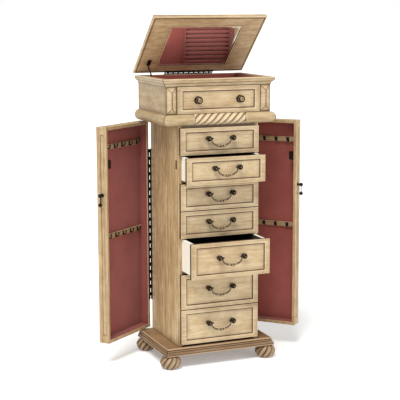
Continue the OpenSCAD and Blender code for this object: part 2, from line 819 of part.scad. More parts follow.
// The bail: an arc of rod with a collar at the middle, and a ball and a pin at each end.
module drawer_bail(n) {
    half_angle = asin(bail_half / bail_arc_r);
    color(dark_metal) translate([0, bail_axis_y - drawer_out[n - 1], post_z(n)]) {
        translate([0, 0, bail_arc_r - bail_drop]) rotate([90, 0, 0]) rotate([0, 0, -90 - half_angle])
            rotate_extrude(angle = 2 * half_angle, $fn = 96)
                translate([bail_arc_r, 0]) circle(bail_r, $fn = 36);
        translate([0, 0, -bail_drop]) rotate([0, 90, 0]) cylinder(r = bail_r + 1.6, h = 7, center = true);
        both_sides() {
            translate([-bail_half, 0, 0]) sphere(bail_end_r, $fn = 48);
            translate([-boss_x - 1, 0, 0]) rotate([0, 90, 0])
                cylinder(r = bail_pin_r, h = boss_x + 1 - bail_half, $fn = 32);
        }
    }
}

// ---- which node to draw ----

bun_feet();
plinth_moulding();
plinth_board();
left_side_panel();
right_side_panel();
back_panel();
drawer_runners();
waist_moulding();
rope_carving();
upper_case();
cornice_moulding();
false_drawer_front();
top_knobs();
tray_lining();
ring_rolls();
cabinet_hinge_leaves();
catch_strikes();
stay_plate();
swing_left() door_case();  // left_door_case
swing_left() door_lining();  // left_door_lining
swing_left() hook_rails();  // left_hook_rails
swing_left() door_fittings();  // left_door_fittings
swing_left() door_drop();  // left_door_drop
swing_right() door_case();  // right_door_case
swing_right() door_lining();  // right_door_lining
swing_right() hook_rails();  // right_hook_rails
swing_right() door_fittings();  // right_door_fittings
swing_right() door_drop();  // right_door_drop
lid_frame();
lid_mirror();
lid_fittings();
lid_stay_arm();
for (n = [1:7]) {
    drawer_front(n);
    drawer_box(n);
    drawer_posts(n);
    drawer_bail(n);
}
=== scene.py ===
"""A free-standing jewelry armoire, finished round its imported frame.

Shapes are worked out in millimetres as numpy surfaces and put into meshes in metres. Each sub-assembly
is a class that holds its sizes, builds its pieces and gives them their finish.
"""

import sys
import json
import logging
from dataclasses import dataclass, field
from enum import Enum
from math import cos, pi, radians, sin

import bpy
import numpy as np
from mathutils import Matrix, Vector


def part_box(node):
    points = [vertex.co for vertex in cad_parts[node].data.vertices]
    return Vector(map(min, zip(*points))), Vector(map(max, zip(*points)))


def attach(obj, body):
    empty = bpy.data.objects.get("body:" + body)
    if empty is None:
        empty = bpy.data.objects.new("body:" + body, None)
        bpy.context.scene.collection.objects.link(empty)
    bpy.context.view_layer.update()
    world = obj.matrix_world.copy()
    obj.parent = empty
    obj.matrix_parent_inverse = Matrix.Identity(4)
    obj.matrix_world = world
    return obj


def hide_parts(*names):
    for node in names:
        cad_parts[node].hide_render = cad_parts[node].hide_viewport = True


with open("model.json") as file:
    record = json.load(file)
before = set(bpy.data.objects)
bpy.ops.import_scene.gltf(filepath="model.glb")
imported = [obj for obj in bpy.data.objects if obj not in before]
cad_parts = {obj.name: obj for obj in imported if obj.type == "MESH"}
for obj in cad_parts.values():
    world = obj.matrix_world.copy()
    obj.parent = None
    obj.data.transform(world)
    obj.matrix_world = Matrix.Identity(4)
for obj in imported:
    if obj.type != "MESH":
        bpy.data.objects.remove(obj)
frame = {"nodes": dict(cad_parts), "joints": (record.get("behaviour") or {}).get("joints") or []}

LOG = logging.getLogger("armoire")
MM = 0.001
SMOOTH_LIMIT = radians(38)
Array = np.ndarray
Colour = tuple[float, float, float]


class Grain(Enum):
    """Which way the wood's grain runs on a piece."""

    ACROSS = (0.09, 1.0, 1.0)
    UPRIGHT = (1.0, 1.0, 0.09)
    LEVEL = (0.12, 0.12, 1.0)


class Slot(Enum):
    """The record's material slots."""

    WOOD = "antiqued_wood"
    PAINT = "painted_wood"
    FELT = "felt"
    BRONZE = "aged_bronze"
    STEEL = "hinge_steel"
    MIRROR = "mirror_glass"


class Along(Enum):
    """The axis that a block's rings are stacked along, as its number and the two axes across it."""

    X = (0, 1, 2)
    Y = (1, 0, 2)
    Z = (2, 0, 1)


# ---- surfaces ----


@dataclass
class Shape:
    """A closed surface in millimetres, with its glaze: above 0 dark in a groove, below 0 rubbed pale. The
    same values also carry painted shade in recesses, creases and under edges, and painted highlights on the
    metal pulls.
    """

    points: Array
    faces: list[Array]
    glaze: Array

    def outward(self) -> "Shape":
        """Turns the faces to point outwards, told by the sign of the volume that they enclose.

        Returns:
            The same shape with every face the right way round.
        """
        volume = 0.0
        centre = self.points.mean(0)
        for table in self.faces:
            corner = self.points[table] - centre
            for k in range(1, table.shape[1] - 1):
                turned = np.cross(corner[:, k], corner[:, k + 1])
                volume += float((corner[:, 0] * turned).sum())
        if volume < 0:
            self.faces = [table[:, ::-1] for table in self.faces]
        return self

    def moved(self, x: float = 0.0, y: float = 0.0, z: float = 0.0) -> "Shape":
        """The shape carried by x, y and z."""
        return Shape(self.points + np.array([x, y, z]), self.faces, self.glaze)

    def mirrored(self) -> "Shape":
        """The shape on the other side of the plane X = 0."""
        return Shape(self.points * np.array([-1.0, 1.0, 1.0]), self.faces, self.glaze).outward()

    def turned(self, axis: Array, pivot: Array, angle: float) -> "Shape":
        """Turns the shape about a line, by Rodrigues' formula.

        Args:
            axis: Unit direction of the line.
            pivot: A point on the line, in millimetres.
            angle: The turn in radians, by the right-hand rule.

        Returns:
            The turned shape.
        """
        arm = self.points - pivot
        along = (arm @ axis)[:, None] * axis
        points = pivot + along + (arm - along) * cos(angle) + np.cross(axis, arm) * sin(angle)
        return Shape(points, self.faces, self.glaze)


def joined(shapes: list[Shape]) -> Shape:
    """Puts several closed shapes into one.

    Args:
        shapes: The shapes, each closed on its own.

    Returns:
        One shape with all their points and faces.
    """
    starts = np.cumsum([0] + [len(s.points) for s in shapes[:-1]])
    faces = [table + start for s, start in zip(shapes, starts) for table in s.faces]
    return Shape(np.vstack([s.points for s in shapes]), faces, np.concatenate([s.glaze for s in shapes]))


def grid_faces(rows: int, cols: int, wrap: bool = True) -> Array:
    """The quads of a grid of points, numbered row by row.

    Args:
        rows: Number of rows.
        cols: Number of points in a row.
        wrap: Whether the last point of a row meets the first.

    Returns:
        A table of four point numbers to a face.
    """
    number = np.arange(rows * cols).reshape(rows, cols)
    if wrap:
        number = np.hstack([number, number[:, :1]])
    quads = [number[:-1, :-1], number[1:, :-1], number[1:, 1:], number[:-1, 1:]]
    return np.stack([q.ravel() for q in quads], 1)


def capped(grid: Array, glaze: Array) -> Shape:
    """A tube of rings closed with a flat face at each end.

    Args:
        grid: Points as rings, their corners and X, Y, Z.
        glaze: Glaze of each ring, or of each point.

    Returns:
        The closed shape.
    """
    rows, cols = grid.shape[:2]
    ends = np.arange(cols)
    shade = glaze if glaze.ndim == 2 else np.repeat(glaze[:, None], cols, 1)
    faces = [grid_faces(rows, cols), ends[None, :], (ends + (rows - 1) * cols)[None, ::-1]]
    return Shape(grid.reshape(-1, 3), faces, shade.ravel()).outward()


def ringed_block(along: Along, rows: list[tuple[float, ...]]) -> Shape:
    """A block as rectangles stacked from one face to the other: each row gives a rectangle's low and high
    edge on both axes across the stack, its place along the stack and its glaze.

    Args:
        along: The axis of the stack.
        rows: The rectangles, as (u low, u high, v low, v high, place, glaze).

    Returns:
        The closed block.
    """
    t = np.array(rows, float)
    u, v = t[:, [0, 1, 1, 0]], t[:, [2, 2, 3, 3]]
    grid = np.empty((len(t), 4, 3))
    w_axis, u_axis, v_axis = along.value
    grid[:, :, u_axis], grid[:, :, v_axis], grid[:, :, w_axis] = u, v, t[:, 4:5]
    return capped(grid, t[:, 5])


@dataclass
class Box:
    """A box in millimetres, by its lowest and highest corners."""

    low: Array
    high: Array

    @staticmethod
    def of(node: str) -> "Box":
        """The box of a CAD node at rest."""
        low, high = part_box(node)
        return Box(np.array(low) / MM, np.array(high) / MM)

    @staticmethod
    def span(x: tuple[float, float], y: tuple[float, float], z: tuple[float, float]) -> "Box":
        """The box between two X, two Y and two Z."""
        return Box(np.array([x[0], y[0], z[0]], float), np.array([x[1], y[1], z[1]], float))

    @property
    def size(self) -> Array:
        """The box's sizes along X, Y and Z."""
        return self.high - self.low

    @property
    def centre(self) -> Array:
        """The box's middle."""
        return (self.low + self.high) / 2

    def slab(self, along: Along, thick: float, at_low: bool = True) -> "Box":
        """The part of the box within `thick` of its low or its high face.

        Args:
            along: The axis through the slab.
            thick: Thickness of the slab.
            at_low: Whether the slab is at the low end of the axis.

        Returns:
            The slab.
        """
        low, high, w = self.low.copy(), self.high.copy(), along.value[0]
        if at_low:
            high[w] = low[w] + thick
        else:
            low[w] = high[w] - thick
        return Box(low, high)

    def stack(self, along: Along, steps: list[tuple[float, ...]], towards_low: bool = True) -> Shape:
        """A block worked from its far face to its near one, in rectangles set in from its outline.

        Args:
            along: The axis that the near face looks along.
            steps: (inset on the first axis, inset on the second, depth below the near face, glaze).
            towards_low: Whether the near face is the one at the low end of the axis.

        Returns:
            The closed block.
        """
        w, u, v = along.value
        rows = []
        for inset_u, inset_v, depth, glaze in steps:
            place = self.low[w] + depth if towards_low else self.high[w] - depth
            inset_u, inset_v = min(inset_u, 0.48 * self.size[u]), min(inset_v, 0.48 * self.size[v])
            rows.append((self.low[u] + inset_u, self.high[u] - inset_u,
                         self.low[v] + inset_v, self.high[v] - inset_v, place, glaze))
        return ringed_block(along, rows)


def arris(thick: float, soft: float, edge: float = 0.25, fade: float = 16.0,
          flank: float | None = None) -> list[tuple[float, ...]]:
    """The steps of a plain board: its far face, its edges and a near face, with every long edge eased to a
    quarter round and the glaze dying away from the edges inwards.

    Args:
        thick: Thickness of the board.
        soft: Radius of the eased edges.
        edge: Glaze beside the edges.
        fade: Width over which the glaze dies away.
        flank: Glaze on the board's narrow sides, if it isn't `edge`.

    Returns:
        Steps for Box.stack.
    """
    side = edge if flank is None else flank
    near = [(soft * (1 - cos(a)), soft * (1 - cos(a)), soft * (1 - sin(a)), -0.25 if a else side)
            for a in (0.0, pi / 6, pi / 3, pi / 2)]
    flat = [(2.2 * soft + 0.6, 2.2 * soft + 0.6, 0.0, edge), (fade, fade, 0.0, 0.0)]
    far = [(iu, iv, thick - depth, glaze) for iu, iv, depth, glaze in near + flat]
    return far[::-1] + near + flat


def board(box: Box, along: Along, soft: float = 0.8, edge: float = 0.25, fade: float = 16.0,
          towards_low: bool = True) -> Shape:
    """A plain board with eased edges.

    Args:
        box: Its size and place.
        along: The axis through its thickness.
        soft: Radius of the eased edges.
        edge: Glaze beside the edges.
        fade: Width over which the glaze dies away.
        towards_low: Whether the near face is at the low end of the axis.

    Returns:
        The closed board.
    """
    return box.stack(along, arris(box.size[along.value[0]], soft, edge, fade), towards_low)


def routed(side: float, end: float, sunk: float, line: float = 1.0) -> list[tuple[float, ...]]:
    """The steps of a face with a flat frame, a routed outline full of glaze and a sunk field inside it.

    Args:
        side: Width of the frame on the first axis.
        end: Width of the frame on the second axis.
        sunk: Depth of the field.
        line: Strength of the glaze in the outline.

    Returns:
        Steps that follow those of a board's eased edge.
    """
    return [(side - 4.0, end - 4.0, 0.0, 0.0), (side - 1.0, end - 1.0, 0.0, -0.25),
            (side - 0.5, end - 0.5, 0.15, 0.2 * line), (side, end, 0.9, 0.8 * line),
            (side + 0.4, end + 0.4, sunk + 0.4, line), (side + 1.9, end + 1.9, sunk + 0.4, line),
            (side + 2.6, end + 2.6, sunk, 0.55 * line), (side + 4.0, end + 4.0, sunk, 0.26 * line),
            (side + 10.0, end + 10.0, sunk, 0.08 * line), (side + 24.0, end + 24.0, sunk, 0.0)]


def moulding(width: float, front: float, rear: float, z: float, outline: list[tuple[float, ...]],
             end_x: float | None = None) -> Shape:
    """A moulding carried across the front and down both sides with mitred corners: each outline point is
    (distance in from the outer edge, height, glaze), and its path turns at the two front corners.

    Args:
        width: Width over the moulding.
        front: Y of its front edge.
        rear: Y where the side runs stop.
        z: Height of the outline's origin.
        outline: The closed outline.
        end_x: Where the front run stops, if it is cut short of the middle. Only the left part is made.

    Returns:
        The closed moulding.
    """
    t = np.array(outline, float)
    inwards, height = t[:, 0], t[:, 1] + z
    left, right = inwards - width / 2, width / 2 - inwards
    fore, aft = inwards + front, np.full_like(inwards, rear)
    seam, line = 2.6, 1.3
    stations = [(left, aft), (left, fore + seam), (left, fore + line), (left, fore), (left + line, fore),
                (left + seam, fore)]
    mitre = [0.0, 0.0, 1.0, 1.0, 1.0, 0.0]
    if end_x is None:
        stations += [(right - seam, fore), (right - line, fore), (right, fore), (right, fore + line),
                     (right, fore + seam), (right, aft)]
        mitre += mitre[::-1]
    else:
        stations += [(np.full_like(inwards, end_x), fore)]
        mitre += [0.0]
    grid = np.stack([np.stack([x, y, height], 1) for x, y in stations])
    seams = np.array(mitre)[:, None]
    return capped(grid, np.where(seams > 0, np.maximum(t[None, :, 2], seams), t[None, :, 2]))


def lathe(outline: list[tuple[float, ...]], sides: int = 40) -> Shape:
    """A turned piece about Z: each outline point (radius, height, glaze) goes round as a circle.

    Args:
        outline: The outline from one end to the other, with a small radius at closed ends.
        sides: Points on each circle.

    Returns:
        The closed piece.
    """
    t = np.array(outline, float)
    turn = np.linspace(0, 2 * pi, sides, endpoint=False)
    radius = np.maximum(t[:, 0], 0.05)[:, None]
    grid = np.stack([radius * np.cos(turn), radius * np.sin(turn), np.repeat(t[:, 1:2], sides, 1)], 2)
    return capped(grid, t[:, 2])


def facing_front(shape: Shape) -> Shape:
    """Lays a piece turned about Z down so that its Z looks along -Y."""
    x, y, z = shape.points.T
    return Shape(np.stack([x, -z, y], 1), shape.faces, shape.glaze)


def facing_side(shape: Shape) -> Shape:
    """Lays a piece turned about Z down so that its Z looks along +X."""
    x, y, z = shape.points.T
    return Shape(np.stack([z, x, y], 1), shape.faces, shape.glaze)


def tube(path: Array, radius: Array, glaze: Array, across: Array, sides: int = 20,
         wear_and_highlight: float = 0.0) -> Shape:
    """A rod along a flat path: round each point stands a circle of its own radius, square to the path.

    Args:
        path: Points in millimetres.
        radius: Radius at each point.
        glaze: Glaze at each point.
        across: Unit direction square to the plane of the path.
        sides: Points on each circle.
        wear_and_highlight: How bright the side that looks against `across` is made, a painted highlight along
            the rod.

    Returns:
        The closed rod.
    """
    along = np.gradient(path, axis=0)
    along /= np.linalg.norm(along, axis=1, keepdims=True)
    lift = np.cross(along, across)
    turn = np.linspace(0, 2 * pi, sides, endpoint=False)
    ring = np.cos(turn)[None, :, None] * lift[:, None] + np.sin(turn)[None, :, None] * across
    # Painted highlight along the side of the rod that looks against `across`.
    rubbed = wear_and_highlight * np.clip(-np.sin(turn), 0, 1)[None, :] ** 9
    return capped(path[:, None] + radius[:, None, None] * ring, np.clip(glaze[:, None] - rubbed, -1, 1))


def make_piece(name: str, shape: Shape, finish: bpy.types.Material, body: str, slot: Slot,
               *nodes: str) -> bpy.types.Object:
    """Puts a shape into a mesh, gives it its finish, and hangs it on its body.

    Args:
        name: Name of the piece.
        shape: Its surface in millimetres.
        finish: Its material.
        body: The CAD body that it rides on.
        slot: The record's slot of its finish; not used.
        *nodes: The CAD nodes that it stands for.

    Returns:
        The new object.
    """
    mesh = bpy.data.meshes.new(name)
    loops = np.concatenate([table.ravel() for table in shape.faces]).astype(np.int32)
    sizes = np.concatenate([np.full(len(table), table.shape[1]) for table in shape.faces])
    mesh.vertices.add(len(shape.points))
    mesh.vertices.foreach_set("co", (shape.points * MM).astype(np.float32).ravel())
    mesh.loops.add(len(loops))
    mesh.loops.foreach_set("vertex_index", loops)
    mesh.polygons.add(len(sizes))
    mesh.polygons.foreach_set("loop_start", (np.cumsum(sizes) - sizes).astype(np.int32))
    mesh.update(calc_edges=True)
    mesh.attributes.new("glaze", "FLOAT", "POINT").data.foreach_set("value", shape.glaze.astype(np.float32))
    mesh.shade_smooth()
    mesh.set_sharp_from_angle(angle=SMOOTH_LIMIT)
    mesh.materials.append(finish)
    piece = bpy.data.objects.new(name, mesh)
    bpy.context.scene.collection.objects.link(piece)
    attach(piece, body)
    if nodes:
        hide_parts(*nodes)
    LOG.info("%s: %d faces on %s", name, len(sizes), body)
    return piece


def dress(node: str, finish: bpy.types.Material) -> None:
    """Gives a CAD node that stays its finish.

    Args:
        node: Name of the node.
        finish: Its material.
    """
    materials = frame["nodes"][node].data.materials
    materials.clear()
    materials.append(finish)
    LOG.info("%s: kept, finished in %s", node, finish.name)


# ---- shader building ----


@dataclass(frozen=True)
class Wire:
    """A shader socket that carries a number and takes part in sums."""

    sheet: "Sheet"
    socket: bpy.types.NodeSocket

    def _math(self, operation: str, first: "Wire | float", second: "Wire | float") -> "Wire":
        """One Math node on two values."""
        return self.sheet.node("ShaderNodeMath", {"operation": operation}, {0: first, 1: second})

    def __add__(self, other: "Wire | float") -> "Wire":
        """Self plus other."""
        return self._math("ADD", self, other)

    def __radd__(self, other: float) -> "Wire":
        """Other plus self."""
        return self._math("ADD", other, self)

    def __sub__(self, other: "Wire | float") -> "Wire":
        """Self less other."""
        return self._math("SUBTRACT", self, other)

    def __rsub__(self, other: float) -> "Wire":
        """Other less self."""
        return self._math("SUBTRACT", other, self)

    def __mul__(self, other: "Wire | float") -> "Wire":
        """Self times other."""
        return self._math("MULTIPLY", self, other)

    def __rmul__(self, other: float) -> "Wire":
        """Other times self."""
        return self._math("MULTIPLY", other, self)

    def band(self, low: float, high: float) -> "Wire":
        """0 below low, 1 above high, and a straight rise between; low may be the larger."""
        sockets = {"Value": self, "From Min": low, "From Max": high}
        return self.sheet.node("ShaderNodeMapRange", {"clamp": True}, sockets)


class Sheet:
    """The node tree of one material, with a Principled shader at its end."""

    def __init__(self, name: str) -> None:
        """Starts the material.

        Args:
            name: Name of the material.
        """
        self.material = bpy.data.materials.new(name)
        self.material.use_nodes = True
        self.tree = self.material.node_tree
        self.shader = self.tree.nodes["Principled BSDF"]

    def node(self, kind: str, settings: dict, sockets: dict, out: int | str = 0) -> Wire:
        """Adds one node.

        Args:
            kind: The node's type.
            settings: Its properties.
            sockets: Values or wires for its inputs, by name or number.
            out: The output that the wire comes from.

        Returns:
            A wire from that output.
        """
        made = self.tree.nodes.new(kind)
        for key, value in settings.items():
            setattr(made, key, value)
        for key, value in sockets.items():
            self.feed(made.inputs[key], value)
        return Wire(self, made.outputs[out])

    def feed(self, socket: bpy.types.NodeSocket, value: "Wire | float | tuple") -> None:
        """Links a wire to a socket, or sets the socket's value.

        Args:
            socket: The input.
            value: A wire, a number, a vector or a colour.
        """
        if isinstance(value, Wire):
            self.tree.links.new(value.socket, socket)
        elif isinstance(value, tuple) and len(value) == 3 and socket.type == "RGBA":
            socket.default_value = (*value, 1.0)
        else:
            socket.default_value = value

    def surface(self, **sockets: "Wire | float | tuple") -> bpy.types.Material:
        """Feeds the shader's own sockets, named with underscores for spaces.

        Args:
            **sockets: Values or wires.

        Returns:
            The material.
        """
        for key, value in sockets.items():
            self.feed(self.shader.inputs[key.replace("_", " ")], value)
        return self.material

    def place(self, scale: tuple[float, float, float] = (1.0, 1.0, 1.0)) -> Wire:
        """Object coordinates, scaled."""
        spot = self.node("ShaderNodeTexCoord", {}, {}, "Object")
        return self.node("ShaderNodeMapping", {}, {"Vector": spot, "Scale": scale})

    def noise(self, place: Wire, scale: float, detail: float = 3.0, rough: float = 0.5,
              bend: float = 0.0) -> Wire:
        """Noise between 0 and 1."""
        sockets = {"Vector": place, "Scale": scale, "Detail": detail, "Roughness": rough, "Distortion": bend}
        return self.node("ShaderNodeTexNoise", {}, sockets, 0)

    def mix(self, first: "Wire | Colour", second: "Wire | Colour", share: Wire) -> Wire:
        """The second colour over the first, by share."""
        made = self.tree.nodes.new("ShaderNodeMix")
        made.data_type = "RGBA"
        self.feed(made.inputs[0], share)
        self.feed(made.inputs[6], first)
        self.feed(made.inputs[7], second)
        return Wire(self, made.outputs[2])

    def glaze(self) -> Wire:
        """The piece's own glaze, with the painted shade and painted highlights that it also carries; 0 where
        it has none.
        """
        return self.node("ShaderNodeAttribute", {"attribute_name": "glaze"}, {}, "Fac")

    def bump(self, height: Wire, strength: float, depth: float) -> Wire:
        """A normal from a height; depth is in metres."""
        return self.node("ShaderNodeBump", {}, {"Height": height, "Strength": strength, "Distance": depth})


# ---- finishes ----


@dataclass(frozen=True)
class AntiquedWood:
    """Parchment-coloured oak with brown glaze in its grooves, rubbed back on its edges."""

    name: str
    grain: Grain
    pale: Colour = (0.590, 0.468, 0.288)
    warm: Colour = (0.420, 0.288, 0.146)
    streak: Colour = (0.235, 0.134, 0.056)
    dark: Colour = (0.072, 0.032, 0.012)
    rubbed: Colour = (0.76, 0.61, 0.41)
    figure: float = 0.6
    flecks: float = 0.95

    def make(self) -> bpy.types.Material:
        """Builds the material: broad figure and fine pores stretched along the grain, cloudy mottling,
        small dark flecks, then the glaze over all, which also lays painted shade where a piece's glaze marks
        it.

        Returns:
            The material.
        """
        s = Sheet(self.name)
        grained, level = s.place(self.grain.value), s.place()
        broad = s.noise(grained, 52.0, 4.0, 0.60, 0.7)
        fine = s.noise(grained, 190.0, 5.0, 0.66, 0.2)
        pores = s.noise(grained, 640.0, 2.0, 0.5)
        cloud = s.noise(level, 21.0, 5.0, 0.64, 0.3)
        drift = s.noise(level, 5.0, 2.0, 0.5)
        fleck = s.noise(level, 210.0, 2.0, 0.7)
        tone = (broad.band(0.40, 0.68) * self.figure + cloud.band(0.42, 0.66) * 0.50
                + drift.band(0.40, 0.66) * 0.30)
        colour = s.mix(self.pale, self.warm, tone.band(0.0, 1.15))
        colour = s.mix(colour, self.streak, fine.band(0.46, 0.68) * (0.25 + 0.90 * broad) * self.figure)
        colour = s.mix(colour, self.streak, pores.band(0.56, 0.76) * 0.30)
        colour = s.mix(colour, self.dark, fleck.band(0.67, 0.76) * cloud.band(0.44, 0.58) * self.flecks)
        glaze = s.glaze()
        colour = s.mix(colour, self.rubbed, (glaze * -1.6 * (0.4 + cloud)).band(0.0, 1.0))
        # Dark glaze in the grooves, and painted shade where pieces mark it: under the feet, under the plinth
        # board's nose, round the foot of the chest.
        glaze_and_shade = (glaze * (0.70 + 0.6 * cloud)).band(0.02, 1.0)
        colour = s.mix(colour, self.dark, glaze_and_shade)
        height = fine * 0.5 + pores * 0.3 + fleck * 0.15
        rough = 0.40 + 0.16 * cloud + 0.16 * glaze_and_shade + 0.08 * fine
        return s.surface(Base_Color=colour, Roughness=rough, Normal=s.bump(height, 0.22, 0.0006),
                         Coat_Weight=0.12, Coat_Roughness=0.35, Specular_IOR_Level=0.42)


@dataclass(frozen=True)
class PaintedWood:
    """Thin cream paint over a drawer box, with the grain just telling through."""

    name: str = "cream_paint"
    cream: Colour = (0.88, 0.835, 0.715)
    worn: Colour = (0.70, 0.60, 0.45)

    def make(self) -> bpy.types.Material:
        """Builds the material from brush marks along the drawer and a cloudy wear.

        Returns:
            The material.
        """
        s = Sheet(self.name)
        brush = s.noise(s.place((1.0, 0.07, 1.0)), 240.0, 4.0, 0.6)
        cloud = s.noise(s.place(), 18.0, 3.0)
        colour = s.mix(self.cream, self.worn, brush.band(0.50, 0.85) * 0.35 + cloud.band(0.55, 0.85) * 0.3)
        colour = s.mix(colour, self.worn, s.glaze().band(0.05, 1.0))
        return s.surface(Base_Color=colour, Roughness=0.5 + 0.15 * cloud, Normal=s.bump(brush, 0.2, 0.0004))


@dataclass(frozen=True)
class Felt:
    """Flocked felt: matt, with short fibres that catch the light."""

    name: str
    deep: Colour = (0.195, 0.044, 0.040)
    bright: Colour = (0.325, 0.096, 0.078)
    sheen: float = 0.25

    def make(self) -> bpy.types.Material:
        """Builds the material from fibre noise at two scales and soft brushed patches.

        Returns:
            The material.
        """
        s = Sheet(self.name)
        level = s.place()
        fibre = s.noise(level, 1500.0, 3.0, 0.7)
        tuft = s.noise(level, 380.0, 3.0, 0.6)
        patch = s.noise(level, 11.0, 3.0, 0.55, 0.4)
        share = (0.45 * fibre + 0.35 * tuft + 0.45 * patch - 0.12).band(0.22, 0.78)
        colour = s.mix(self.deep, self.bright, share)
        # Painted shade: the felt turns darker where its glaze is above 0, which its boards give along their
        # edges, so each lining darkens into its corners.
        colour = s.mix(colour, tuple(0.3 * c for c in self.deep), s.glaze().band(0.0, 1.2))
        return s.surface(Base_Color=colour, Roughness=0.92, Sheen_Weight=self.sheen, Sheen_Roughness=0.45,
                         Specular_IOR_Level=0.2, Normal=s.bump(fibre + tuft, 0.5, 0.0005))


@dataclass(frozen=True)
class Metal:
    """Dark metal with a patina, rubbed bright on random high spots, and bright where the glaze is below 0:
    wear on raised beads and rims, and painted highlights on the pulls.
    """

    name: str
    dark: Colour
    patina: Colour
    bright: Colour
    rough: float = 0.34
    metallic: float = 0.9

    def make(self) -> bpy.types.Material:
        """Builds the material from a blotchy patina, fine pitting, the rubbed places and the painted
        highlights.

        Returns:
            The material.
        """
        s = Sheet(self.name)
        level = s.place()
        blotch = s.noise(level, 160.0, 4.0, 0.6)
        pit = s.noise(level, 1400.0, 2.0, 0.6)
        glaze = s.glaze()
        colour = s.mix(self.dark, self.patina, blotch.band(0.35, 0.75))
        # Bright on worn high spots, and painted highlights where the glaze is below 0.
        wear_and_highlight = (glaze * -1.0).band(0.05, 0.95) * (0.55 + 0.45 * blotch) + blotch.band(0.66, 0.80) * 0.35
        colour = s.mix(colour, self.bright, wear_and_highlight.band(0.0, 1.0))
        # Dark where the glaze is above 0: patina in the hollows, and painted shade on the backs of the post
        # balls.
        colour = s.mix(colour, (0.008, 0.006, 0.005), glaze.band(0.1, 1.0))
        return s.surface(Base_Color=colour, Metallic=self.metallic,
                         Roughness=self.rough + 0.22 * (1.0 - blotch),
                         Normal=s.bump(blotch + 0.5 * pit, 0.22, 0.0004))


@dataclass(frozen=True)
class MirrorGlass:
    """Silvered glass, faintly clouded."""

    name: str = "mirror"
    silver: Colour = (0.86, 0.87, 0.87)
    cloudy: Colour = (0.76, 0.76, 0.75)

    def make(self) -> bpy.types.Material:
        """Builds the material with a faint cloud in the silver and in its gloss.

        Returns:
            The material.
        """
        s = Sheet(self.name)
        cloud = s.noise(s.place(), 24.0, 3.0)
        colour = s.mix(self.silver, self.cloudy, cloud.band(0.45, 0.85))
        return s.surface(Base_Color=colour, Metallic=1.0, Roughness=0.012 + 0.02 * cloud.band(0.5, 0.9))


class Finishes:
    """Every material of the armoire, made once."""

    def __init__(self) -> None:
        """Makes the materials."""
        def wood(place: str, grain: Grain, **looks: Colour | float) -> bpy.types.Material:
            """The wood of one place on the armoire."""
            return AntiquedWood(f"wood_{place}", grain, **looks).make()

        self.across = wood("across", Grain.ACROSS)
        self.flank = wood("flank", Grain.UPRIGHT, pale=(0.75, 0.590, 0.345), warm=(0.53, 0.365, 0.176),
                          streak=(0.25, 0.148, 0.062), figure=1.15)
        self.upright = wood("upright", Grain.UPRIGHT, pale=(0.60, 0.455, 0.262), warm=(0.44, 0.285, 0.135),
                            figure=0.9)
        self.level = wood("level", Grain.LEVEL)
        self.waist = wood("waist", Grain.LEVEL, pale=(0.500, 0.392, 0.225), warm=(0.350, 0.235, 0.112),
                          figure=0.75)
        self.lid = wood("lid", Grain.LEVEL, pale=(0.555, 0.415, 0.235), warm=(0.385, 0.25, 0.118),
                        figure=0.85)
        self.base = wood("base", Grain.LEVEL, pale=(0.300, 0.192, 0.094), warm=(0.20, 0.108, 0.050),
                         streak=(0.15, 0.070, 0.032), dark=(0.045, 0.019, 0.009), rubbed=(0.60, 0.43, 0.25))
        self.carved = wood("carved", Grain.UPRIGHT, figure=0.4, flecks=0.3)
        self.foot = wood("foot", Grain.UPRIGHT, pale=(0.31, 0.218, 0.120), warm=(0.19, 0.118, 0.060),
                         rubbed=(0.48, 0.35, 0.205), figure=0.7, flecks=0.4)
        self.rail = wood("rail", Grain.LEVEL, pale=(0.36, 0.25, 0.14), warm=(0.24, 0.15, 0.08))
        # A much darker copy of the wood for the runners inside the chest: painted shade in the gaps between
        # the drawers.
        self.inside = wood("inside", Grain.UPRIGHT, pale=(0.20, 0.13, 0.075), warm=(0.13, 0.08, 0.045),
                           streak=(0.08, 0.045, 0.025))
        self.cream = PaintedWood().make()
        self.felt = Felt("dusty_red_felt").make()
        self.tray_felt = Felt("compartment_felt", (0.28, 0.066, 0.058), (0.46, 0.140, 0.112)).make()
        self.flock = Felt("black_flock", (0.010, 0.009, 0.009), (0.028, 0.024, 0.022), 0.08).make()
        self.rolls = Felt("ring_roll_velvet", (0.25, 0.068, 0.060), (0.38, 0.130, 0.108), 0.4).make()
        self.bronze = Metal("aged_bronze", (0.018, 0.012, 0.008), (0.048, 0.031, 0.020),
                            (0.50, 0.38, 0.23)).make()
        self.steel = Metal("black_steel", (0.011, 0.010, 0.010), (0.026, 0.023, 0.020), (0.17, 0.145, 0.11),
                           0.38).make()
        self.brass = Metal("screw_brass", (0.30, 0.20, 0.09), (0.42, 0.29, 0.14), (0.75, 0.56, 0.30)).make()
        self.mirror = MirrorGlass().make()


# ---- sub-assemblies ----


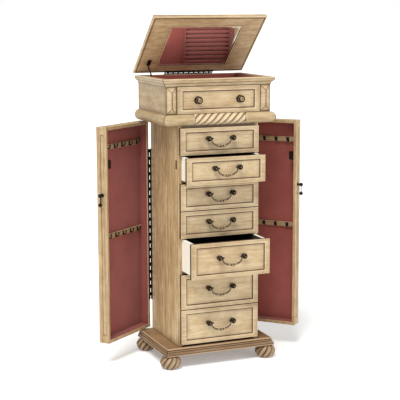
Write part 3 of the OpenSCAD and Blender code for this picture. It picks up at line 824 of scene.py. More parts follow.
@dataclass
class Feet:
    """Four melon-shaped bun feet, cut into slanting lobes."""

    radius: float = 37.0
    cut: float = 64.0
    lobes: int = 10
    depth: float = 0.17
    slant: float = 56.0
    rows: int = 34
    sides: int = 160

    def surface(self, height: float) -> Shape:
        """One foot about Z: its outline is a ball's, cut off at the latitude `cut` above and below. Round
        each circle the radius dips where |sin(lobes / 2 * (angle - slant * height))| is small, which cuts the
        grooves, and they grow shallow at both ends.

        Args:
            height: Height of the foot.

        Returns:
            The closed foot, standing on Z = 0.
        """
        latitude = np.radians(np.linspace(-self.cut, self.cut, self.rows))[:, None]
        turn = np.linspace(0, 2 * pi, self.sides, endpoint=False)[None, :]
        rise = 0.5 * (1 + np.sin(latitude) / sin(radians(self.cut)))
        wave = np.abs(np.sin(self.lobes / 2 * (turn - radians(self.slant) * rise)))
        valley = (1 - wave) ** 2.5 * np.clip(1.6 * np.cos(latitude * 1.15), 0, 1)
        radius = self.radius * np.cos(latitude) * (1 - self.depth * valley)
        level = np.repeat(rise * height, self.sides, 1)
        grid = np.stack([radius * np.cos(turn), radius * np.sin(turn), level], 2)
        # Painted shade: darker on the foot's underside and round its top, where it meets the plinth.
        under = 0.5 * np.clip(-np.sin(latitude) - 0.45, 0, 1) + 0.35 * np.clip(np.sin(latitude) - 0.6, 0, 1)
        return capped(grid, np.clip(1.3 * valley + under - 0.22 * wave ** 6, -0.3, 1))

    def build(self, finishes: Finishes) -> None:
        """Sets a foot under each corner."""
        box = Box.of("bun_feet")
        foot = self.surface(box.size[2])
        reach = box.high - self.radius
        feet = [foot.moved(x * reach[0], y * reach[1]) for x in (-1, 1) for y in (-1, 1)]
        make_piece("carved_feet", joined(feet), finishes.foot, "cabinet", Slot.WOOD, "bun_feet")


@dataclass
class Plinth:
    """The moulded plinth and the board on it."""

    flare: float = 8.0
    deep: float = 46.0
    side_t: float = 12.0

    def outline(self, h: float) -> list[tuple[float, ...]]:
        """The moulding's outline: a square fillet, a dark quirk, a hollow that rises inwards as a quarter
        circle, a second quirk and a bead under the board.

        Args:
            h: Height of the moulding.

        Returns:
            Points (distance in, height, glaze).
        """
        hollow = [(1.9 + (self.flare - 3.0) * (1 - cos(a)), 0.32 * h + 0.40 * h * sin(a), 0.10 + 0.22 * a)
                  for a in np.linspace(0, pi / 2, 9)]
        bead = [(self.flare - 1.2 - 1.7 * sin(a), 0.885 * h - 1.5 * cos(a), -0.15)
                for a in np.linspace(0.5, pi - 0.5, 7)]
        return ([(self.deep, 0.0, 0.6), (0.9, 0.0, 0.5), (0.0, 0.8, -0.3), (0.0, 0.20 * h, -0.2),
                 (0.3, 0.22 * h, 0.6), (1.3, 0.25 * h, 1.0), (2.0, 0.31 * h, 1.0)] + hollow
                + [(self.flare - 1.2, 0.73 * h, 1.0), (self.flare + 0.6, 0.78 * h, 1.0)] + bead
                + [(self.flare, 0.965 * h, 0.8), (self.flare, h, 0.8), (self.deep, h, 0.5)])

    def build(self, finishes: Finishes) -> None:
        """Runs the moulding round three sides, closes its back, and lays the board on it."""
        low, high = Box.of("plinth_moulding"), Box.of("plinth_board")
        size, floor = low.size, low.low[2]
        run = moulding(size[0], low.low[1], low.high[1], floor, self.outline(size[2]))
        inner = Box.span((low.low[0] + self.deep - 1, low.high[0] - self.deep + 1),
                         (low.low[1] + self.deep - 1, low.high[1]), (floor + 0.5, low.high[2]))
        pieces = joined([run, board(inner, Along.Z)])
        make_piece("plinth_run", pieces, finishes.base, "cabinet", Slot.WOOD, "plinth_moulding")
        case = Box.of("drawer_runners")
        side, front = case.low[0] - self.side_t - high.low[0], case.low[1] - high.low[1]
        t = high.size[2]
        nose = [(0.42 * t * (1 - sin(a)), 0.42 * t * (1 - sin(a)), 0.5 * t * (1 - cos(a)), -0.25)
                for a in np.linspace(0.15, pi / 2, 6)]
        # Painted shade: the nose's lower half and the board's underside are glazed darker than its top, and a
        # dark band fades out from where the chest stands on the board.
        steps = ([(40, 40, t, 0.4), (0.42 * t, 0.42 * t, t, 0.8)]
                 + [(a, b, t - c, g + 0.5) for a, b, c, g in nose] + nose[::-1]
                 + [(0.5 * t, 0.5 * t, 0, 0.10), (side - 9, front - 6, 0, 0.0),
                    (side - 2.5, front - 2.5, 0, 0.25), (side - 0.3, front - 0.3, 0, 1.0),
                    (side + 6, front + 6, 0, 1.0)])
        make_piece("plinth_top_board", high.stack(Along.Z, steps, False), finishes.base, "cabinet", Slot.WOOD,
                   "plinth_board")


@dataclass
class Carcass:
    """The chest: two side panels, a back, and the rails and runners inside."""

    side_soft: float = 1.0
    back_soft: float = 0.6
    frame_side: float = 34.0
    frame_edge: float = 40.0
    sunk: float = 1.2

    def build(self, finishes: Finishes) -> None:
        """Makes the panels and finishes the rails."""
        for side, mirrored in (("left", False), ("right", True)):
            node = f"{side}_side_panel"
            box = Box.of(node)
            steps = arris(box.size[0], self.side_soft, 0.30)[:-1]
            steps += [(8.0, 8.0, 0, 0.16), (22.0, 22.0, 0, 0.02), (60.0, 120.0, 0, 0.0)]
            panel = box.stack(Along.X, steps, not mirrored)
            make_piece(f"{side}_chest_side", panel, finishes.flank, "cabinet", Slot.WOOD, node)
        box = Box.of("back_panel")
        steps = arris(box.size[1], self.back_soft, 0.3)[:-1]
        steps += routed(self.frame_side, self.frame_edge, self.sunk, 0.7)
        back = box.stack(Along.Y, steps, False)
        make_piece("chest_back", back, finishes.flank, "cabinet", Slot.WOOD, "back_panel")
        # The runners take the darker inside wood, painted shade in the gaps between the drawers.
        dress("drawer_runners", finishes.inside)
        dress("catch_strikes", finishes.steel)
        dress("cabinet_hinge_leaves", finishes.steel)


@dataclass
class Waist:
    """The half-round moulding between the chest and the top case, with a rope carved in its front."""

    deep: float = 40.0
    floor_t: float = 12.0
    rear_t: float = 6.0
    strands: float = 8.0
    lean: float = 2.3
    cut: float = 0.17

    def rope(self, box: Box) -> Shape:
        """The carved rope: half a cylinder along X whose radius swells in rounded strands. A strand's phase
        grows with X and with the angle round the cylinder, so that it leans; beside each end the carving
        runs out into a curved shoulder.

        Args:
            box: The space of the CAD rope.

        Returns:
            The closed rope.
        """
        radius, half = box.size[2] / 2, box.size[0] / 2
        x = np.linspace(-half, half, 340)[:, None]
        turn = np.linspace(-pi / 2, pi / 2, 41)[None, :]
        phase = self.strands * (x + half) / (2 * half) - self.lean * turn / pi
        wave = np.abs(np.sin(pi * phase))
        valley = (1 - wave) ** 2.6
        ends = np.clip((half - np.abs(x) - 3.0 * np.cos(turn) ** 2) / 4.0, 0, 1)
        shoulder = np.exp(-((half - np.abs(x) - 1.5 - 3.5 * np.cos(turn) ** 2) / 1.7) ** 2)
        r = radius * (1 - self.cut * valley * ends - 0.10 * shoulder)
        y, z = box.high[1] - r * np.cos(turn), box.centre[2] + r * np.sin(turn)
        grid = np.stack([np.repeat(x, turn.size, 1), y, z], 2)
        glaze = np.clip(np.maximum(1.1 * valley ** 0.8 * ends, 0.9 * shoulder) - 0.35 * wave ** 4, -0.35, 1.0)
        return capped(grid, glaze)

    def build(self, finishes: Finishes) -> None:
        """Makes both ends of the moulding, the wood behind the rope, and the rope."""
        box, carved = Box.of("waist_moulding"), Box.of("rope_carving")
        radius = box.size[2] / 2
        bow = [(radius * (1 - cos(a)), radius * (1 + sin(a)), 0.25 * (abs(a) > 1.1) + 0.60 * (abs(a) > 1.35))
               for a in np.linspace(-pi / 2, pi / 2, 25)]
        outline = [(self.deep, 0.0, 0.6)] + bow + [(self.deep, 2 * radius, 0.6)]
        left = moulding(box.size[0], box.low[1], box.high[1], box.low[2], outline, carved.low[0])
        behind = Box.span((carved.low[0], carved.high[0]), (carved.high[1], box.low[1] + self.deep),
                          (box.low[2], box.high[2]))
        between, under = (box.low[0] + self.deep, box.high[0] - self.deep), box.high[2] - self.floor_t
        floor = Box.span(between, (box.low[1] + self.deep, box.high[1]), (under, box.high[2]))
        rear = Box.span(between, (box.high[1] - self.rear_t, box.high[1]), (box.low[2], under))
        shape = joined([left, left.mirrored(), board(behind, Along.Y, 0.3, 0.8, 5), board(floor, Along.Z),
                        board(rear, Along.Y, 0.5, 0.6, 12)])
        make_piece("waist_half_round", shape, finishes.waist, "cabinet", Slot.WOOD, "waist_moulding")
        make_piece("waist_rope", self.rope(carved), finishes.carved, "cabinet", Slot.WOOD, "rope_carving")


@dataclass
class TopCase:
    """The case over the waist: its boards, corner blocks, cornice and the fixed drawer-look front."""

    board_t: float = 12.0
    block_w: float = 40.0
    block_rise: float = 9.0
    frame_side: float = 19.0
    frame_edge: float = 14.0
    sunk: float = 3.0
    cornice_out: float = 14.0
    floor_t: float = 6.0
    rosette_r: float = 14.0

    def corner_block(self, low: Array, high: Array) -> Shape:
        """A block whose front rises on four slopes to an upright ridge, with glaze along its arrises.

        Args:
            low: Its lowest corner, at the ridge's depth.
            high: Its highest corner, at the case's face.

        Returns:
            The closed block.
        """
        half, rise = (high[0] - low[0]) / 2, self.block_rise
        steps = np.array([
            (0.0, rise + 3.0, 0.9), (0.0, rise + 0.4, 0.8), (0.7, rise, 0.6), (2.4, rise - 0.5, 1.0),
            (3.6, rise * 0.88, 0.3), (half * 0.4, rise * 0.62, 0.0), (half * 0.75, rise * 0.26, 0.0),
            (half - 2.0, rise * 0.08, 0.25), (half - 0.8, 0.0, 0.9)])
        inset, depth, glaze = steps.T[:, :, None]
        near = np.array([0.0, 1.5, 3.2])
        x_run, z_run = half - inset, (high[2] - low[2]) / 2 - inset
        x_side, z_side = (
            np.hstack([-run + np.minimum(near, 0.45 * run), run - np.minimum(near[::-1], 0.45 * run)])
            for run in (x_run, z_run))
        per_side = 6
        ones = np.ones(per_side)
        x = np.hstack([x_side, x_run * ones, x_side[:, ::-1], -x_run * ones])
        z = np.hstack([-z_run * ones, z_side, z_run * ones, z_side[:, ::-1]])
        keep = np.arange(4 * per_side) % per_side != per_side - 1
        line = np.tile([1.0, 0.5, 0.0, 0.0, 0.5, 1.0], 4)
        middle = (low + high) / 2
        grid = np.stack([middle[0] + x, low[1] + depth + 0 * x, middle[2] + z], 2)[:, keep]
        return capped(grid, np.maximum(glaze, line)[:, keep])

    def cornice(self, h: float) -> list[tuple[float, ...]]:
        """The cornice's outline: a fillet under the rim, a hollow, a dark quirk and a quarter round.

        Args:
            h: Height of the cornice.

        Returns:
            Points (distance in, height, glaze).
        """
        o = self.cornice_out
        quarter = [(o * (0.80 - 0.34 * (1 - cos(a))), h * (0.10 + 0.28 * sin(a)), 0.05)
                   for a in np.linspace(0, pi / 2, 7)]
        hollow = [(o * (0.40 - 0.36 * sin(a)), h * (0.45 + 0.31 * (1 - cos(a))), 0.12)
                  for a in np.linspace(0, pi / 2, 9)]
        return ([(o, 0.0, 0.8), (0.82 * o, 0.0, 0.8), (0.80 * o, 0.07 * h, 0.5)] + quarter
                + [(0.44 * o, 0.40 * h, 1.0), (0.42 * o, 0.43 * h, 1.0)] + hollow
                + [(0.03 * o, 0.78 * h, 0.9), (0.0, 0.81 * h, 0.3), (0.0, 0.96 * h, -0.3),
                   (0.08 * o, h, -0.3), (0.6 * o, h, 0.0), (o, h, 0.1)])

    def knob(self) -> Shape:
        """A turned knob on a beaded rosette, its front looking along -Y."""
        # The dome and its rims are rubbed bright: worn brass, and a painted highlight.
        return facing_front(lathe([
            (13.6, 0.0, 0.6), (self.rosette_r, 0.8, -0.6), (13.2, 1.7, -0.4), (11.9, 1.9, 0.9),
            (11.2, 1.6, 1.0), (10.0, 2.6, -0.2), (7.2, 3.1, 0.3), (5.0, 3.9, 0.9), (4.3, 6.0, 0.4),
            (4.6, 9.4, 0.3), (7.2, 11.2, 0.0), (10.8, 13.4, -0.3), (12.4, 15.8, -0.9), (12.4, 17.4, -0.8), (11.5, 19.2, -0.2),
            (9.6, 20.3, 0.9), (8.6, 20.2, 1.0),
            (7.8, 21.2, -0.5), (6.0, 22.7, -0.9), (3.2, 23.7, -0.5), (0.0, 24.0, -0.3)]))

    def build(self, finishes: Finishes) -> None:
        """Makes every piece of the case."""
        case, cornice = Box.of("upper_case"), Box.of("cornice_moulding")
        front = Box.of("drawer_runners").low[1]
        t, z0, z1 = self.board_t, case.low[2], case.high[2]
        x0, x1, rear = case.low[0], case.high[0], case.high[1]
        floor = Box.of("tray_lining").low[2]
        side = Box.span((x0, x0 + t), (front, rear), (z0, z1))
        side_steps = arris(t, 0.8, 0.30)[:-1]
        side_steps += [(4.0, 2.5, 0, 0.7), (6.0, 5.0, 0, 0.25), (18.0, 16.0, 0, 0.0)]
        left = side.stack(Along.X, side_steps)
        span = (x0 + t, x1 - t)
        boards = [left, left.mirrored(), board(Box.span(span, (front, front + t), (z0, z1)), Along.Y, 0.4),
                  board(Box.span(span, (rear - t, rear), (z0, z1)), Along.Y, 0.8, towards_low=False),
                  board(Box.span(span, (front + t, rear - t), (floor - self.floor_t, floor)), Along.Z)]
        make_piece("top_case_boards", joined(boards), finishes.waist, "cabinet", Slot.WOOD, "upper_case")
        top = cornice.low[2]
        block = self.corner_block(np.array([x0, case.low[1], z0]),
                                  np.array([x0 + self.block_w, front, top]))
        make_piece("corner_blocks", joined([block, block.mirrored()]), finishes.level, "cabinet", Slot.WOOD)
        run = moulding(cornice.size[0], cornice.low[1], cornice.high[1], top, self.cornice(cornice.size[2]))
        make_piece("cornice_run", run, finishes.level, "cabinet", Slot.WOOD, "cornice_moulding")
        face = Box.of("false_drawer_front")
        steps = arris(face.size[1], 0.8, 0.30, flank=1.0)[:-1]
        steps += routed(self.frame_side, self.frame_edge, self.sunk)
        make_piece("fixed_front", face.stack(Along.Y, steps), finishes.across, "cabinet", Slot.WOOD,
                   "false_drawer_front")
        knobs = Box.of("top_knobs")
        reach = knobs.high[0] - self.rosette_r
        knob = self.knob().moved(0, knobs.high[1], knobs.centre[2])
        make_piece("turned_knobs", joined([knob.moved(-reach), knob.moved(reach)]), finishes.bronze,
                   "cabinet", Slot.BRONZE, "top_knobs")


@dataclass
class Tray:
    """The felt-lined compartment under the lid, with its divider and the padded ring rolls."""

    felt_t: float = 1.5
    divider_t: float = 4.0
    divider_h: float = 26.0
    rolls: int = 15
    pitch: float = 15.4
    sides: int = 28

    def roll(self, length: float, radius: float, phase: float) -> Shape:
        """A stuffed roll along X: a round whose radius pulls in at both ends as sqrt(1 - t^8), swells
        gently in between, and is puckered by two slow waves.

        Args:
            length: Length of the roll.
            radius: Its largest radius.
            phase: Where its waves start, so that no two rolls are alike.

        Returns:
            The closed roll, centred on the origin.
        """
        t = np.sin(np.linspace(-pi / 2, pi / 2, 72))[:, None]
        turn = np.linspace(0, 2 * pi, self.sides, endpoint=False)[None, :]
        pucker = 0.012 * np.sin(19 * t + phase + 2 * turn) + 0.010 * np.sin(33 * t - 2 * phase)
        r = radius * np.sqrt(np.clip(1 - np.abs(t) ** 9, 0.02, 1)) * (0.975 + pucker)
        full = np.sign(np.cos(turn)) * np.abs(np.cos(turn)) ** 0.75
        grid = np.stack([np.repeat(t * length / 2, self.sides, 1), r * full, r * np.sin(turn)], 2)
        # Painted shade: darker along the roll's flanks, in the creases where it meets its neighbours.
        side = 0.35 * np.abs(np.cos(turn)) ** 8 + 0 * t
        return capped(grid, side)

    def build(self, finishes: Finishes) -> None:
        """Lines the compartment and lays the rolls."""
        box, t = Box.of("tray_lining"), self.felt_t
        (x0, y0, z0), (x1, y1, z1) = box.low, box.high
        inside = Box.span((x0 + t, x1 - t), (y0, y1), (z0, z1))
        # The glaze along the felt's edges is painted shade into the compartment's corners.
        walls = [board(space.slab(along, t, at_low), along, 0.5, 0.2, 8)
                 for space, along in ((box, Along.X), (inside, Along.Y)) for at_low in (True, False)]
        divider = Box.span((-self.divider_t / 2, self.divider_t / 2), (y0 + t, y1 - t),
                           (z0 + t, z0 + t + self.divider_h))
        walls += [board(box.slab(Along.Z, t), Along.Z, 0.3, 0.3, 14), board(divider, Along.X, 1.2, 0.1, 8)]
        make_piece("compartment_felt", joined(walls), finishes.tray_felt, "cabinet", Slot.FELT, "tray_lining")
        rolls = Box.of("ring_rolls")
        radius = rolls.size[2] / 2
        places = rolls.low[1] + radius + self.pitch * np.arange(self.rolls)
        shapes = [self.roll(rolls.size[0], radius, 1.7 * n).moved(rolls.centre[0], y, rolls.centre[2])
                  for n, y in enumerate(places)]
        piece = make_piece("padded_ring_rolls", joined(shapes), finishes.rolls, "cabinet", Slot.FELT,
                           "ring_rolls")


@dataclass
class Pull:
    """A bail pull: two domed posts and a swinging bail with beads at its middle."""

    boss_r: float = 9.5
    spacing: float = 92.0
    bail_r: float = 2.8
    bulge: float = 4.5
    drop: float = 27.0
    pin_r: float = 1.5
    pin_end: float = 47.0
    ball_r: float = 3.3

    def post(self, out: float) -> Shape:
        """One post looking along -Y: a small rosette, a neck, and a ball with a ringed button in front.

        Args:
            out: Distance from the drawer's face to the ball's centre.

        Returns:
            The closed post, its root on Y = 0.
        """
        r = self.boss_r
        # The ball is glazed darker towards its root and paler towards its front, and the button's centre is
        # pale: painted shade and a painted highlight.
        ball = [(r * sin(a), out - r * cos(a), 0.45 * cos(a)) for a in np.linspace(0.50, 2.15, 13)]
        button = [(0.79 * r, out + 0.60 * r, 0.8), (0.73 * r, out + 0.65 * r, 0.9),
                  (0.66 * r, out + 0.75 * r, 0.5), (0.50 * r, out + 0.87 * r, 0.2),
                  (0.28 * r, out + 0.96 * r, -0.1), (0.0, out + r, -0.7)]
        root = [(0.74 * r, 0.0, 0.7), (0.78 * r, 0.9, -0.5), (0.68 * r, 1.9, -0.2), (4.7, 2.4, 0.9),
                (4.4, 4.6, 0.6)]
        return facing_front(lathe(root + ball + button, 44))

    def bail(self) -> list[Shape]:
        """The bail about its axis: a rod hanging by `drop`, swelling into five beads round its
        middle, with a ball and a pin at each end.

        Returns:
            Closed shapes, the axis along X through the origin.
        """
        half = self.spacing / 2 - self.boss_r - self.ball_r - 0.3
        turn = np.linspace(-pi / 2, pi / 2, 181)
        fall = -self.drop * np.cos(turn) ** 0.85
        spread = (half + self.bulge) * np.sin(turn) - self.bulge * np.sign(turn) * (1 + fall / self.drop) ** 6
        path = np.stack([spread, 0 * turn, fall], 1)
        step = np.linalg.norm(np.diff(path, axis=0), axis=1)
        run = np.concatenate([[0.0], np.cumsum(step)])
        run -= run[-1] / 2
        radius = self.bail_r * (0.72 + 0.42 * np.cos(turn) ** 1.5)
        glaze = np.full_like(run, 0.05)
        beads = ((-14.0, 0.5), (-10.4, 0.8), (-2.7, 1.3), (2.7, 1.3), (10.4, 0.8), (14.0, 0.5))
        for place, swell in beads:
            bead = np.exp(-((run - place) / 1.5) ** 4)
            radius, glaze = radius + swell * bead, glaze - 0.9 * bead
        glaze += 0.9 * np.exp(-(run / 0.8) ** 2) + 0.8 * np.exp(-((np.abs(run) - 6.2) / 1.3) ** 2)
        # rub=0.7 lays a painted highlight along the bail's front.
        shapes = [tube(path, radius, glaze, np.array([0.0, 1.0, 0.0]), wear_and_highlight=0.7)]
        ball = lathe([(self.ball_r * sin(a), -self.ball_r * cos(a), -0.1)
                      for a in np.linspace(0.06, pi - 0.06, 15)], 24)
        pin = lathe([(self.pin_r, half - 0.5, 0.5), (self.pin_r, self.pin_end, 0.5)], 24)
        for shape in (ball.moved(z=half), pin):
            laid = facing_side(shape)
            shapes += [laid, laid.mirrored()]
        return shapes


@dataclass
class Drawer:
    """One drawer: its front, its painted box with a black lining, and its pull."""

    number: int
    pull: Pull = field(default_factory=Pull)
    wall: float = 8.0
    bottom_t: float = 3.0
    bottom_up: float = 4.0
    lining: float = 0.7
    lining_down: float = 2.5
    frame_side: float = 19.0
    frame_edge: float = 14.0
    sunk: float = 3.0

    def box_walls(self, box: Box) -> Shape:
        """Two sides, a back and a bottom, each a board with eased edges.

        Args:
            box: The box's space.

        Returns:
            The closed boards.
        """
        (x0, y0, z0), (x1, y1, z1) = box.low, box.high
        w, up = self.wall, z0 + self.bottom_up
        inside = Box.span((x0 + w, x1 - w), (y0, y1), (z0, z1))
        bottom = Box.span((x0 + w, x1 - w), (y0, y1 - w), (up, up + self.bottom_t))
        walls = [board(space.slab(along, w, at_low), along, 1.0, 0.15, 12) for space, along, at_low in (
            (box, Along.X, True), (box, Along.X, False), (inside, Along.Y, False))]
        return joined([*walls, board(bottom, Along.Z, 0.4)])

    def liner(self, box: Box) -> Shape:
        """The flocked lining: a thin skin on the bottom and on the four walls, short of their tops.

        Args:
            box: The box's space.

        Returns:
            The closed skins.
        """
        (x0, y0, z0), (x1, y1, z1) = box.low, box.high
        space = Box.span((x0 + self.wall, x1 - self.wall), (y0, y1 - self.wall),
                         (z0 + self.bottom_up + self.bottom_t, z1 - self.lining_down))
        skins = ((Along.Z, True, 20), (Along.X, True, 10), (Along.X, False, 10), (Along.Y, False, 10),
                 (Along.Y, True, 10))
        # The glaze along the flock's edges is painted shade into the drawer's corners.
        return joined([board(space.slab(along, self.lining, at_low), along, 0.2, 0.2, fade)
                       for along, at_low, fade in skins])

    def build(self, finishes: Finishes) -> None:
        """Makes the drawer's pieces at rest."""
        tag = body = f"drawer_{self.number}"
        front = Box.of(f"{tag}_front")
        steps = arris(front.size[1], 0.9, 0.22, flank=1.0)[:-1]
        steps += routed(self.frame_side, self.frame_edge, self.sunk)
        make_piece(f"{tag}_panel", front.stack(Along.Y, steps), finishes.across, body, Slot.WOOD,
                   f"{tag}_front")
        box = Box.of(f"{tag}_box")
        make_piece(f"{tag}_walls", self.box_walls(box), finishes.cream, body, Slot.PAINT, f"{tag}_box")
        make_piece(f"{tag}_lining", self.liner(box), finishes.flock, body, Slot.FELT)
        posts = Box.of(f"{tag}_posts")
        root, centre, x = front.low[1] + self.sunk, posts.centre, self.pull.spacing / 2
        axis_y = posts.low[1] + self.pull.boss_r
        post = self.pull.post(root - axis_y).moved(0, root, centre[2])
        make_piece(f"{tag}_pull_posts", joined([post.moved(-x), post.moved(x)]), finishes.bronze, body,
                   Slot.BRONZE, f"{tag}_posts")
        bail = joined(self.pull.bail()).moved(0, axis_y, centre[2])
        make_piece(f"{tag}_pull_bail", bail, finishes.bronze, f"bail_{self.number}", Slot.BRONZE,
                   f"{tag}_bail")


@dataclass
class Swing:
    """A hinged part's turn from closed to rest, from its joint."""

    axis: Array
    pivot: Array
    angle: float

    @staticmethod
    def of(joint: str) -> "Swing":
        """The turn of a joint whose lower limit is the closed position."""
        found = next(j for j in frame["joints"] if j["name"] == joint)
        axis = np.array(found["axis"], float)
        pivot, closed = np.array(found["pos_m"]) / MM, radians(found["range_deg"][0])
        return Swing(axis / np.linalg.norm(axis), pivot, -closed)

    def open(self, shape: Shape) -> Shape:
        """A closed shape turned to rest."""
        return shape.turned(self.axis, self.pivot, self.angle)


@dataclass
class Lid:
    """The lid with its recessed mirror, drawn closed and then turned open."""

    width: float = 426.0
    depth: float = 293.0
    thick: float = 15.0
    back_gap: float = 1.0
    rest_gap: float = 2.0
    mirror_w: float = 260.0
    mirror_h: float = 202.0
    mirror_back: float = 38.0
    mirror_t: float = 3.0
    mirror_in: float = 2.0
    bevel: float = 10.0

    @property
    def rear(self) -> float:
        """Y of the closed lid's back edge."""
        return Box.of("cornice_moulding").high[1] - self.back_gap

    @property
    def under(self) -> float:
        """Height of the closed lid's underside."""
        return Box.of("cornice_moulding").high[2] + self.rest_gap

    def rectangle(self, inset: float, share: float, z: float, glaze: float) -> tuple[float, ...]:
        """A rectangle between the lid's outline, share 0, and the mirror's opening, share 1.

        Args:
            inset: How far in it is set from that rectangle.
            share: Where it lies between the two.
            z: Height above the lid's underside.
            glaze: Its glaze.

        Returns:
            A row for ringed_block.
        """
        rear, under = self.rear, self.under
        outer = (-self.width / 2, self.width / 2, rear - self.depth, rear)
        inner = (-self.mirror_w / 2, self.mirror_w / 2,
                 rear - self.mirror_back - self.mirror_h, rear - self.mirror_back)
        a, b, c, d = (o + (i - o) * share for o, i in zip(outer, inner))
        return (a + inset, b - inset, c + inset, d - inset, under + z, glaze)

    def board(self) -> Shape:
        """The lid's board: from the recess behind the mirror out over a rounded lip, the flat frame and a
        scratched line near its edge, round the nosed edge, and over a moulded top.

        Returns:
            The closed board.
        """
        r, t = self.rectangle, self.thick
        recess = self.mirror_t + self.mirror_in
        return ringed_block(Along.Z, [
r(20, 1, recess, 0.5), r(0, 1, recess, 0.5), r(0, 1, 2.0, 1.0), r(-0.4, 1, 0.9, 0.9),
            r(-1.2, 1, 0.2, 0.2), r(-2.4, 1, 0.0, -0.3), r(-4.6, 1, 0.0, -0.1), r(-5.4, 1, 0.3, 0.8),
            r(-6.4, 1, 0.3, 0.8), r(-7.2, 1, 0.0, 0.1), r(0, 0.5, 0.0, 0.0), r(12, 0, 0.0, 0.05),
            r(9.2, 0, 0.0, 0.5), r(8.4, 0, 0.6, 1.0), r(6.6, 0, 0.6, 1.0), r(5.8, 0, 0.0, 0.5),
            r(2.4, 0, 0.0, -0.2), r(0.8, 0, 0.7, -0.3), r(0, 0, 2.4, -0.2), r(0, 0, 0.52 * t, 0.1),
            r(0.5, 0, 0.62 * t, 0.8), r(1.3, 0, 0.64 * t, 1.0), r(1.6, 0, 0.74 * t, 0.1),
            r(2.6, 0, 0.90 * t, -0.3), r(4.4, 0, t, -0.3), r(9.0, 0, t, 0.05), r(10.0, 0, t - 0.7, 0.9),
            r(11.4, 0, t - 0.7, 0.9), r(12.4, 0, t, 0.3), r(26, 0, t, 0.05), r(70, 0, t, 0.0)])

    def glass(self) -> Shape:
        """The mirror: a flat plate whose front drops away in a bevel on all four sides.

        Returns:
            The closed plate.
        """
        r, front, back = self.rectangle, self.mirror_in, self.mirror_in + self.mirror_t
        return ringed_block(Along.Z, [r(0.5, 1, back, 0.0), r(0.5, 1, front + 0.9, 0.0),
                                      r(1.0, 1, front + 0.7, 0.0), r(self.bevel, 1, front, 0.0),
                                      r(self.bevel + 0.6, 1, front, 0.0)])

    def build(self, finishes: Finishes) -> None:
        """Makes the lid's pieces and finishes its hinge, bracket and stay."""
        swing = Swing.of("lid_hinge")
        make_piece("lid_board", swing.open(self.board()), finishes.lid, "lid", Slot.WOOD, "lid_frame")
        make_piece("bevelled_mirror", swing.open(self.glass()), finishes.mirror, "lid", Slot.MIRROR,
                   "lid_mirror")
        for node in ("lid_fittings", "lid_stay_arm", "stay_plate"):
            dress(node, finishes.steel)


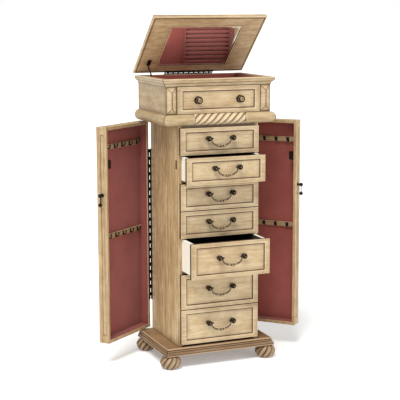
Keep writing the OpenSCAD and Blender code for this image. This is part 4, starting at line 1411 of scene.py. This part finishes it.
@dataclass
class Door:
    """A door made as a shallow tray, drawn closed on the left, then mirrored if need be and turned open."""

    left: bool
    gap: float = 1.5
    thick: float = 40.0
    depth: float = 268.0
    wall: float = 11.0
    panel_t: float = 6.0
    felt_t: float = 1.5
    rail_t: float = 8.0
    rail_h: float = 18.0
    rear_in: float = 7.0
    felt_down: float = 2.0
    inner: float = field(init=False)
    outer: float = field(init=False)
    floor: float = field(init=False)
    rear: float = field(init=False)
    front: float = field(init=False)
    low: float = field(init=False)
    high: float = field(init=False)

    def __post_init__(self) -> None:
        """Works out the closed tray's faces from the carcass and the door's heights."""
        carcass, tall = Box.of("left_side_panel"), Box.of(f"{self.side}_door_case")
        self.inner = carcass.low[0] - self.gap
        self.outer = self.inner - self.thick
        self.floor = self.outer + self.panel_t
        self.rear = carcass.high[1] - self.rear_in
        self.front = self.rear - self.depth
        self.low, self.high = tall.low[2], tall.high[2]

    @property
    def side(self) -> str:
        """The door's side, as its names say it."""
        return "left" if self.left else "right"

    def case(self) -> Shape:
        """The tray: a front wall with a routed field, three plain walls, and the framed outer panel.

        Returns:
            The closed boards.
        """
        w, x, y, z = self.wall, (self.floor, self.inner), (self.front, self.rear), (self.low, self.high)
        stile = Box.span(x, (y[0], y[0] + w), z)
        steps = arris(w, 0.8, 0.25)[:-1]
        steps += [(8.4, 24.0, 0, 0.05), (9.4, 26.0, 0.2, 0.35), (10.0, 27.0, 1.6, 0.6),
                  (11.2, 29.0, 1.6, 0.5), (12.6, 33.0, 1.2, 0.25), (16.8, 40.0, 1.2, 0.12)]
        inside = (y[0] + w, y[1] - w)
        panel = Box.span((self.outer, self.floor), y, z)
        outside = arris(self.panel_t, 1.6, 0.25)[:-1] + routed(36.0, 44.0, 2.0, 0.9)
        return joined([stile.stack(Along.Y, steps),
                       board(Box.span(x, (y[1] - w, y[1]), z), Along.Y, 0.8, towards_low=False),
                       board(Box.span(x, inside, (z[0], z[0] + w)), Along.Z),
                       board(Box.span(x, inside, (z[1] - w, z[1])), Along.Z, towards_low=False),
                       panel.stack(Along.X, outside)])

    def lining(self) -> Shape:
        """The felt on the tray's floor and inside its walls.

        Returns:
            The closed skins.
        """
        w, t = self.wall, self.felt_t
        space = Box.span((self.floor, self.inner - self.felt_down), (self.front + w, self.rear - w),
                         (self.low + w, self.high - w))
        # The glaze along the felt's edges, fading over 24 mm on the floor, is painted shade into the tray's
        # corners.
        floor = board(space.slab(Along.X, t), Along.X, 0.4, 0.25, 24, towards_low=False)
        walls = [board(space.slab(along, t, at_low), along, 0.4, 0.2, 10)
                 for along in (Along.Y, Along.Z) for at_low in (True, False)]
        return joined([floor, *walls])

    def rails(self, heights: list[float]) -> tuple[Shape, Shape]:
        """The hook rails, with a nosed front, and the round-headed screws at their ends.

        Args:
            heights: Middle of each rail.

        Returns:
            The rails and the screws.
        """
        x0 = self.floor + self.felt_t
        clear = self.wall + self.felt_t + 0.5
        y, h, t = (self.front + clear, self.rear - clear), self.rail_h / 2, self.rail_t
        steps = [(3, 4, t, 0.4), (0, 0, t, 0.6), (0, 0, 3.2, 0.2), (0.3, 0.3, 2.0, -0.2),
                 (1.2, 1.4, 0.6, -0.3), (2.2, 2.6, 0.4, 0.8), (3.0, 3.4, 0.2, 0.2), (4.5, 5.0, 0.0, 0.0)]
        rails = [Box.span((x0, x0 + t), y, (z - h, z + h)).stack(Along.X, steps, False) for z in heights]
        head = lathe([(2.6, -0.5, 0.6), (2.8, 0.3, -0.3), (2.3, 1.1, -0.8), (1.3, 1.6, -0.8),
                      (0.0, 1.8, -0.6)], 20)
        screws = [facing_side(head).moved(x0 + t, p, z) for z in heights for p in (y[0] + 9, y[1] - 9)]
        return joined(rails), joined(screws)

    def build(self, finishes: Finishes) -> None:
        """Makes the door's pieces at rest and finishes its hooks, hinge, magnet and pull."""
        side, body = self.side, f"{self.side}_door"
        swing = Swing.of(f"{body}_hinge")
        rail = Box.of(f"{side}_hook_rails")
        heights = [rail.low[2] + self.rail_h / 2, rail.high[2] - self.rail_h / 2]
        rails, screws = self.rails(heights)
        for name, shape, finish, slot, nodes in (
                ("tray", self.case(), finishes.upright, Slot.WOOD, (f"{body}_case",)),
                ("felt", self.lining(), finishes.felt, Slot.FELT, (f"{body}_lining",)),
                ("hook_boards", rails, finishes.rail, Slot.WOOD, (f"{side}_hook_rails",)),
                ("rail_screws", screws, finishes.brass, Slot.BRONZE, ())):
            closed = shape if self.left else shape.mirrored()
            make_piece(f"{body}_{name}", swing.open(closed), finish, body, slot, *nodes)
        dress(f"{body}_fittings", finishes.steel)
        dress(f"{body}_drop", finishes.bronze)


@dataclass
class Studio:
    """The camera, the floor, the lights and the white surroundings."""

    place: tuple[float, float, float] = (-1.60072, -3.80800, 1.25742)
    yaw: float = 22.56
    pitch: float = 9.48
    roll: float = -0.14
    lens: float = 105.26
    ambient: float = 0.50
    key_from: float = 40.0
    key_height: float = 57.0
    key_power: float = 2.75
    key_spread: float = 24.0
    fill_from: float = -30.0
    fill_height: float = 12.0
    fill_power: float = 0.95
    fill_spread: float = 50.0
    floor_half: float = 400.0

    def camera(self) -> None:
        """Sets up the camera, its depth of field off and its picture unshifted."""
        data = bpy.data.cameras.new("camera")
        data.lens, data.sensor_width = self.lens, 36.0
        camera = bpy.data.objects.new("camera", data)
        yaw, pitch = radians(self.yaw), radians(self.pitch)
        ahead = Vector((sin(yaw) * cos(pitch), cos(yaw) * cos(pitch), -sin(pitch)))
        turn = ahead.to_track_quat("-Z", "Y").to_matrix() @ Matrix.Rotation(radians(self.roll), 3, "Z")
        camera.matrix_world = Matrix.Translation(self.place) @ turn.to_4x4()
        bpy.context.scene.collection.objects.link(camera)
        bpy.context.scene.camera = camera

    def sun(self, name: str, from_left: float, height: float, power: float, spread: float) -> None:
        """Hangs one soft, even light.

        Args:
            name: Its name.
            from_left: How far round to the left of the front it comes from, in degrees.
            height: How high it comes from, in degrees.
            power: Its strength.
            spread: Width of the light in degrees, which softens its shadows.
        """
        data = bpy.data.lights.new(name, "SUN")
        data.energy, data.angle, data.color = power, radians(spread), (1.0, 0.985, 0.96)
        lamp = bpy.data.objects.new(name, data)
        a, e = radians(from_left), radians(height)
        towards = Vector((sin(a) * cos(e), cos(a) * cos(e), -sin(e)))
        lamp.rotation_euler = towards.to_track_quat("-Z", "Y").to_euler()
        bpy.context.scene.collection.objects.link(lamp)

    def floor(self) -> None:
        """Lays a wide pale floor with a faint unevenness."""
        mesh = bpy.data.meshes.new("floor")
        half = self.floor_half
        corners = [(-half, -half, 0), (half, -half, 0), (half, half, 0), (-half, half, 0)]
        mesh.from_pydata(corners, [], [(0, 1, 2, 3)])
        s = Sheet("pale_floor")
        cloud = s.noise(s.place(), 0.7, 2.0)
        mesh.materials.append(s.surface(Base_Color=s.mix((0.90, 0.90, 0.905), (0.92, 0.92, 0.925), cloud),
                                        Roughness=0.9, Specular_IOR_Level=0.1,
                                        Emission_Color=(1.0, 1.0, 1.0), Emission_Strength=0.22))
        floor = bpy.data.objects.new("floor", mesh)
        bpy.context.scene.collection.objects.link(floor)

    def build(self) -> None:
        """Sets up everything round the object."""
        scene = bpy.context.scene
        scene.view_settings.view_transform = "Standard"
        world = bpy.data.worlds.new("white")
        world.use_nodes = True
        background = world.node_tree.nodes["Background"]
        background.inputs["Color"].default_value = (1.0, 1.0, 1.0, 1.0)
        seen = world.node_tree.nodes.new("ShaderNodeLightPath")
        level = world.node_tree.nodes.new("ShaderNodeMapRange")
        level.inputs["To Min"].default_value, level.inputs["To Max"].default_value = self.ambient, 1.0
        world.node_tree.links.new(seen.outputs["Is Camera Ray"], level.inputs["Value"])
        world.node_tree.links.new(level.outputs[0], background.inputs["Strength"])
        scene.world = world
        self.floor()
        self.sun("key", self.key_from, self.key_height, self.key_power, self.key_spread)
        self.sun("fill", self.fill_from, self.fill_height, self.fill_power, self.fill_spread)
        self.camera()


def main() -> None:
    """Builds the armoire from the floor up."""
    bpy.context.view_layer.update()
    finishes = Finishes()
    Studio().build()
    for part in (Feet(), Plinth(), Carcass(), Waist(), TopCase(), Tray(), Lid(), Door(True), Door(False)):
        LOG.info("building %s", type(part).__name__)
        part.build(finishes)
    for number in range(1, 8):
        Drawer(number).build(finishes)


if __name__ == "__main__":
    logging.basicConfig(level=logging.INFO, stream=sys.stdout, format="%(name)s: %(message)s")
    main()
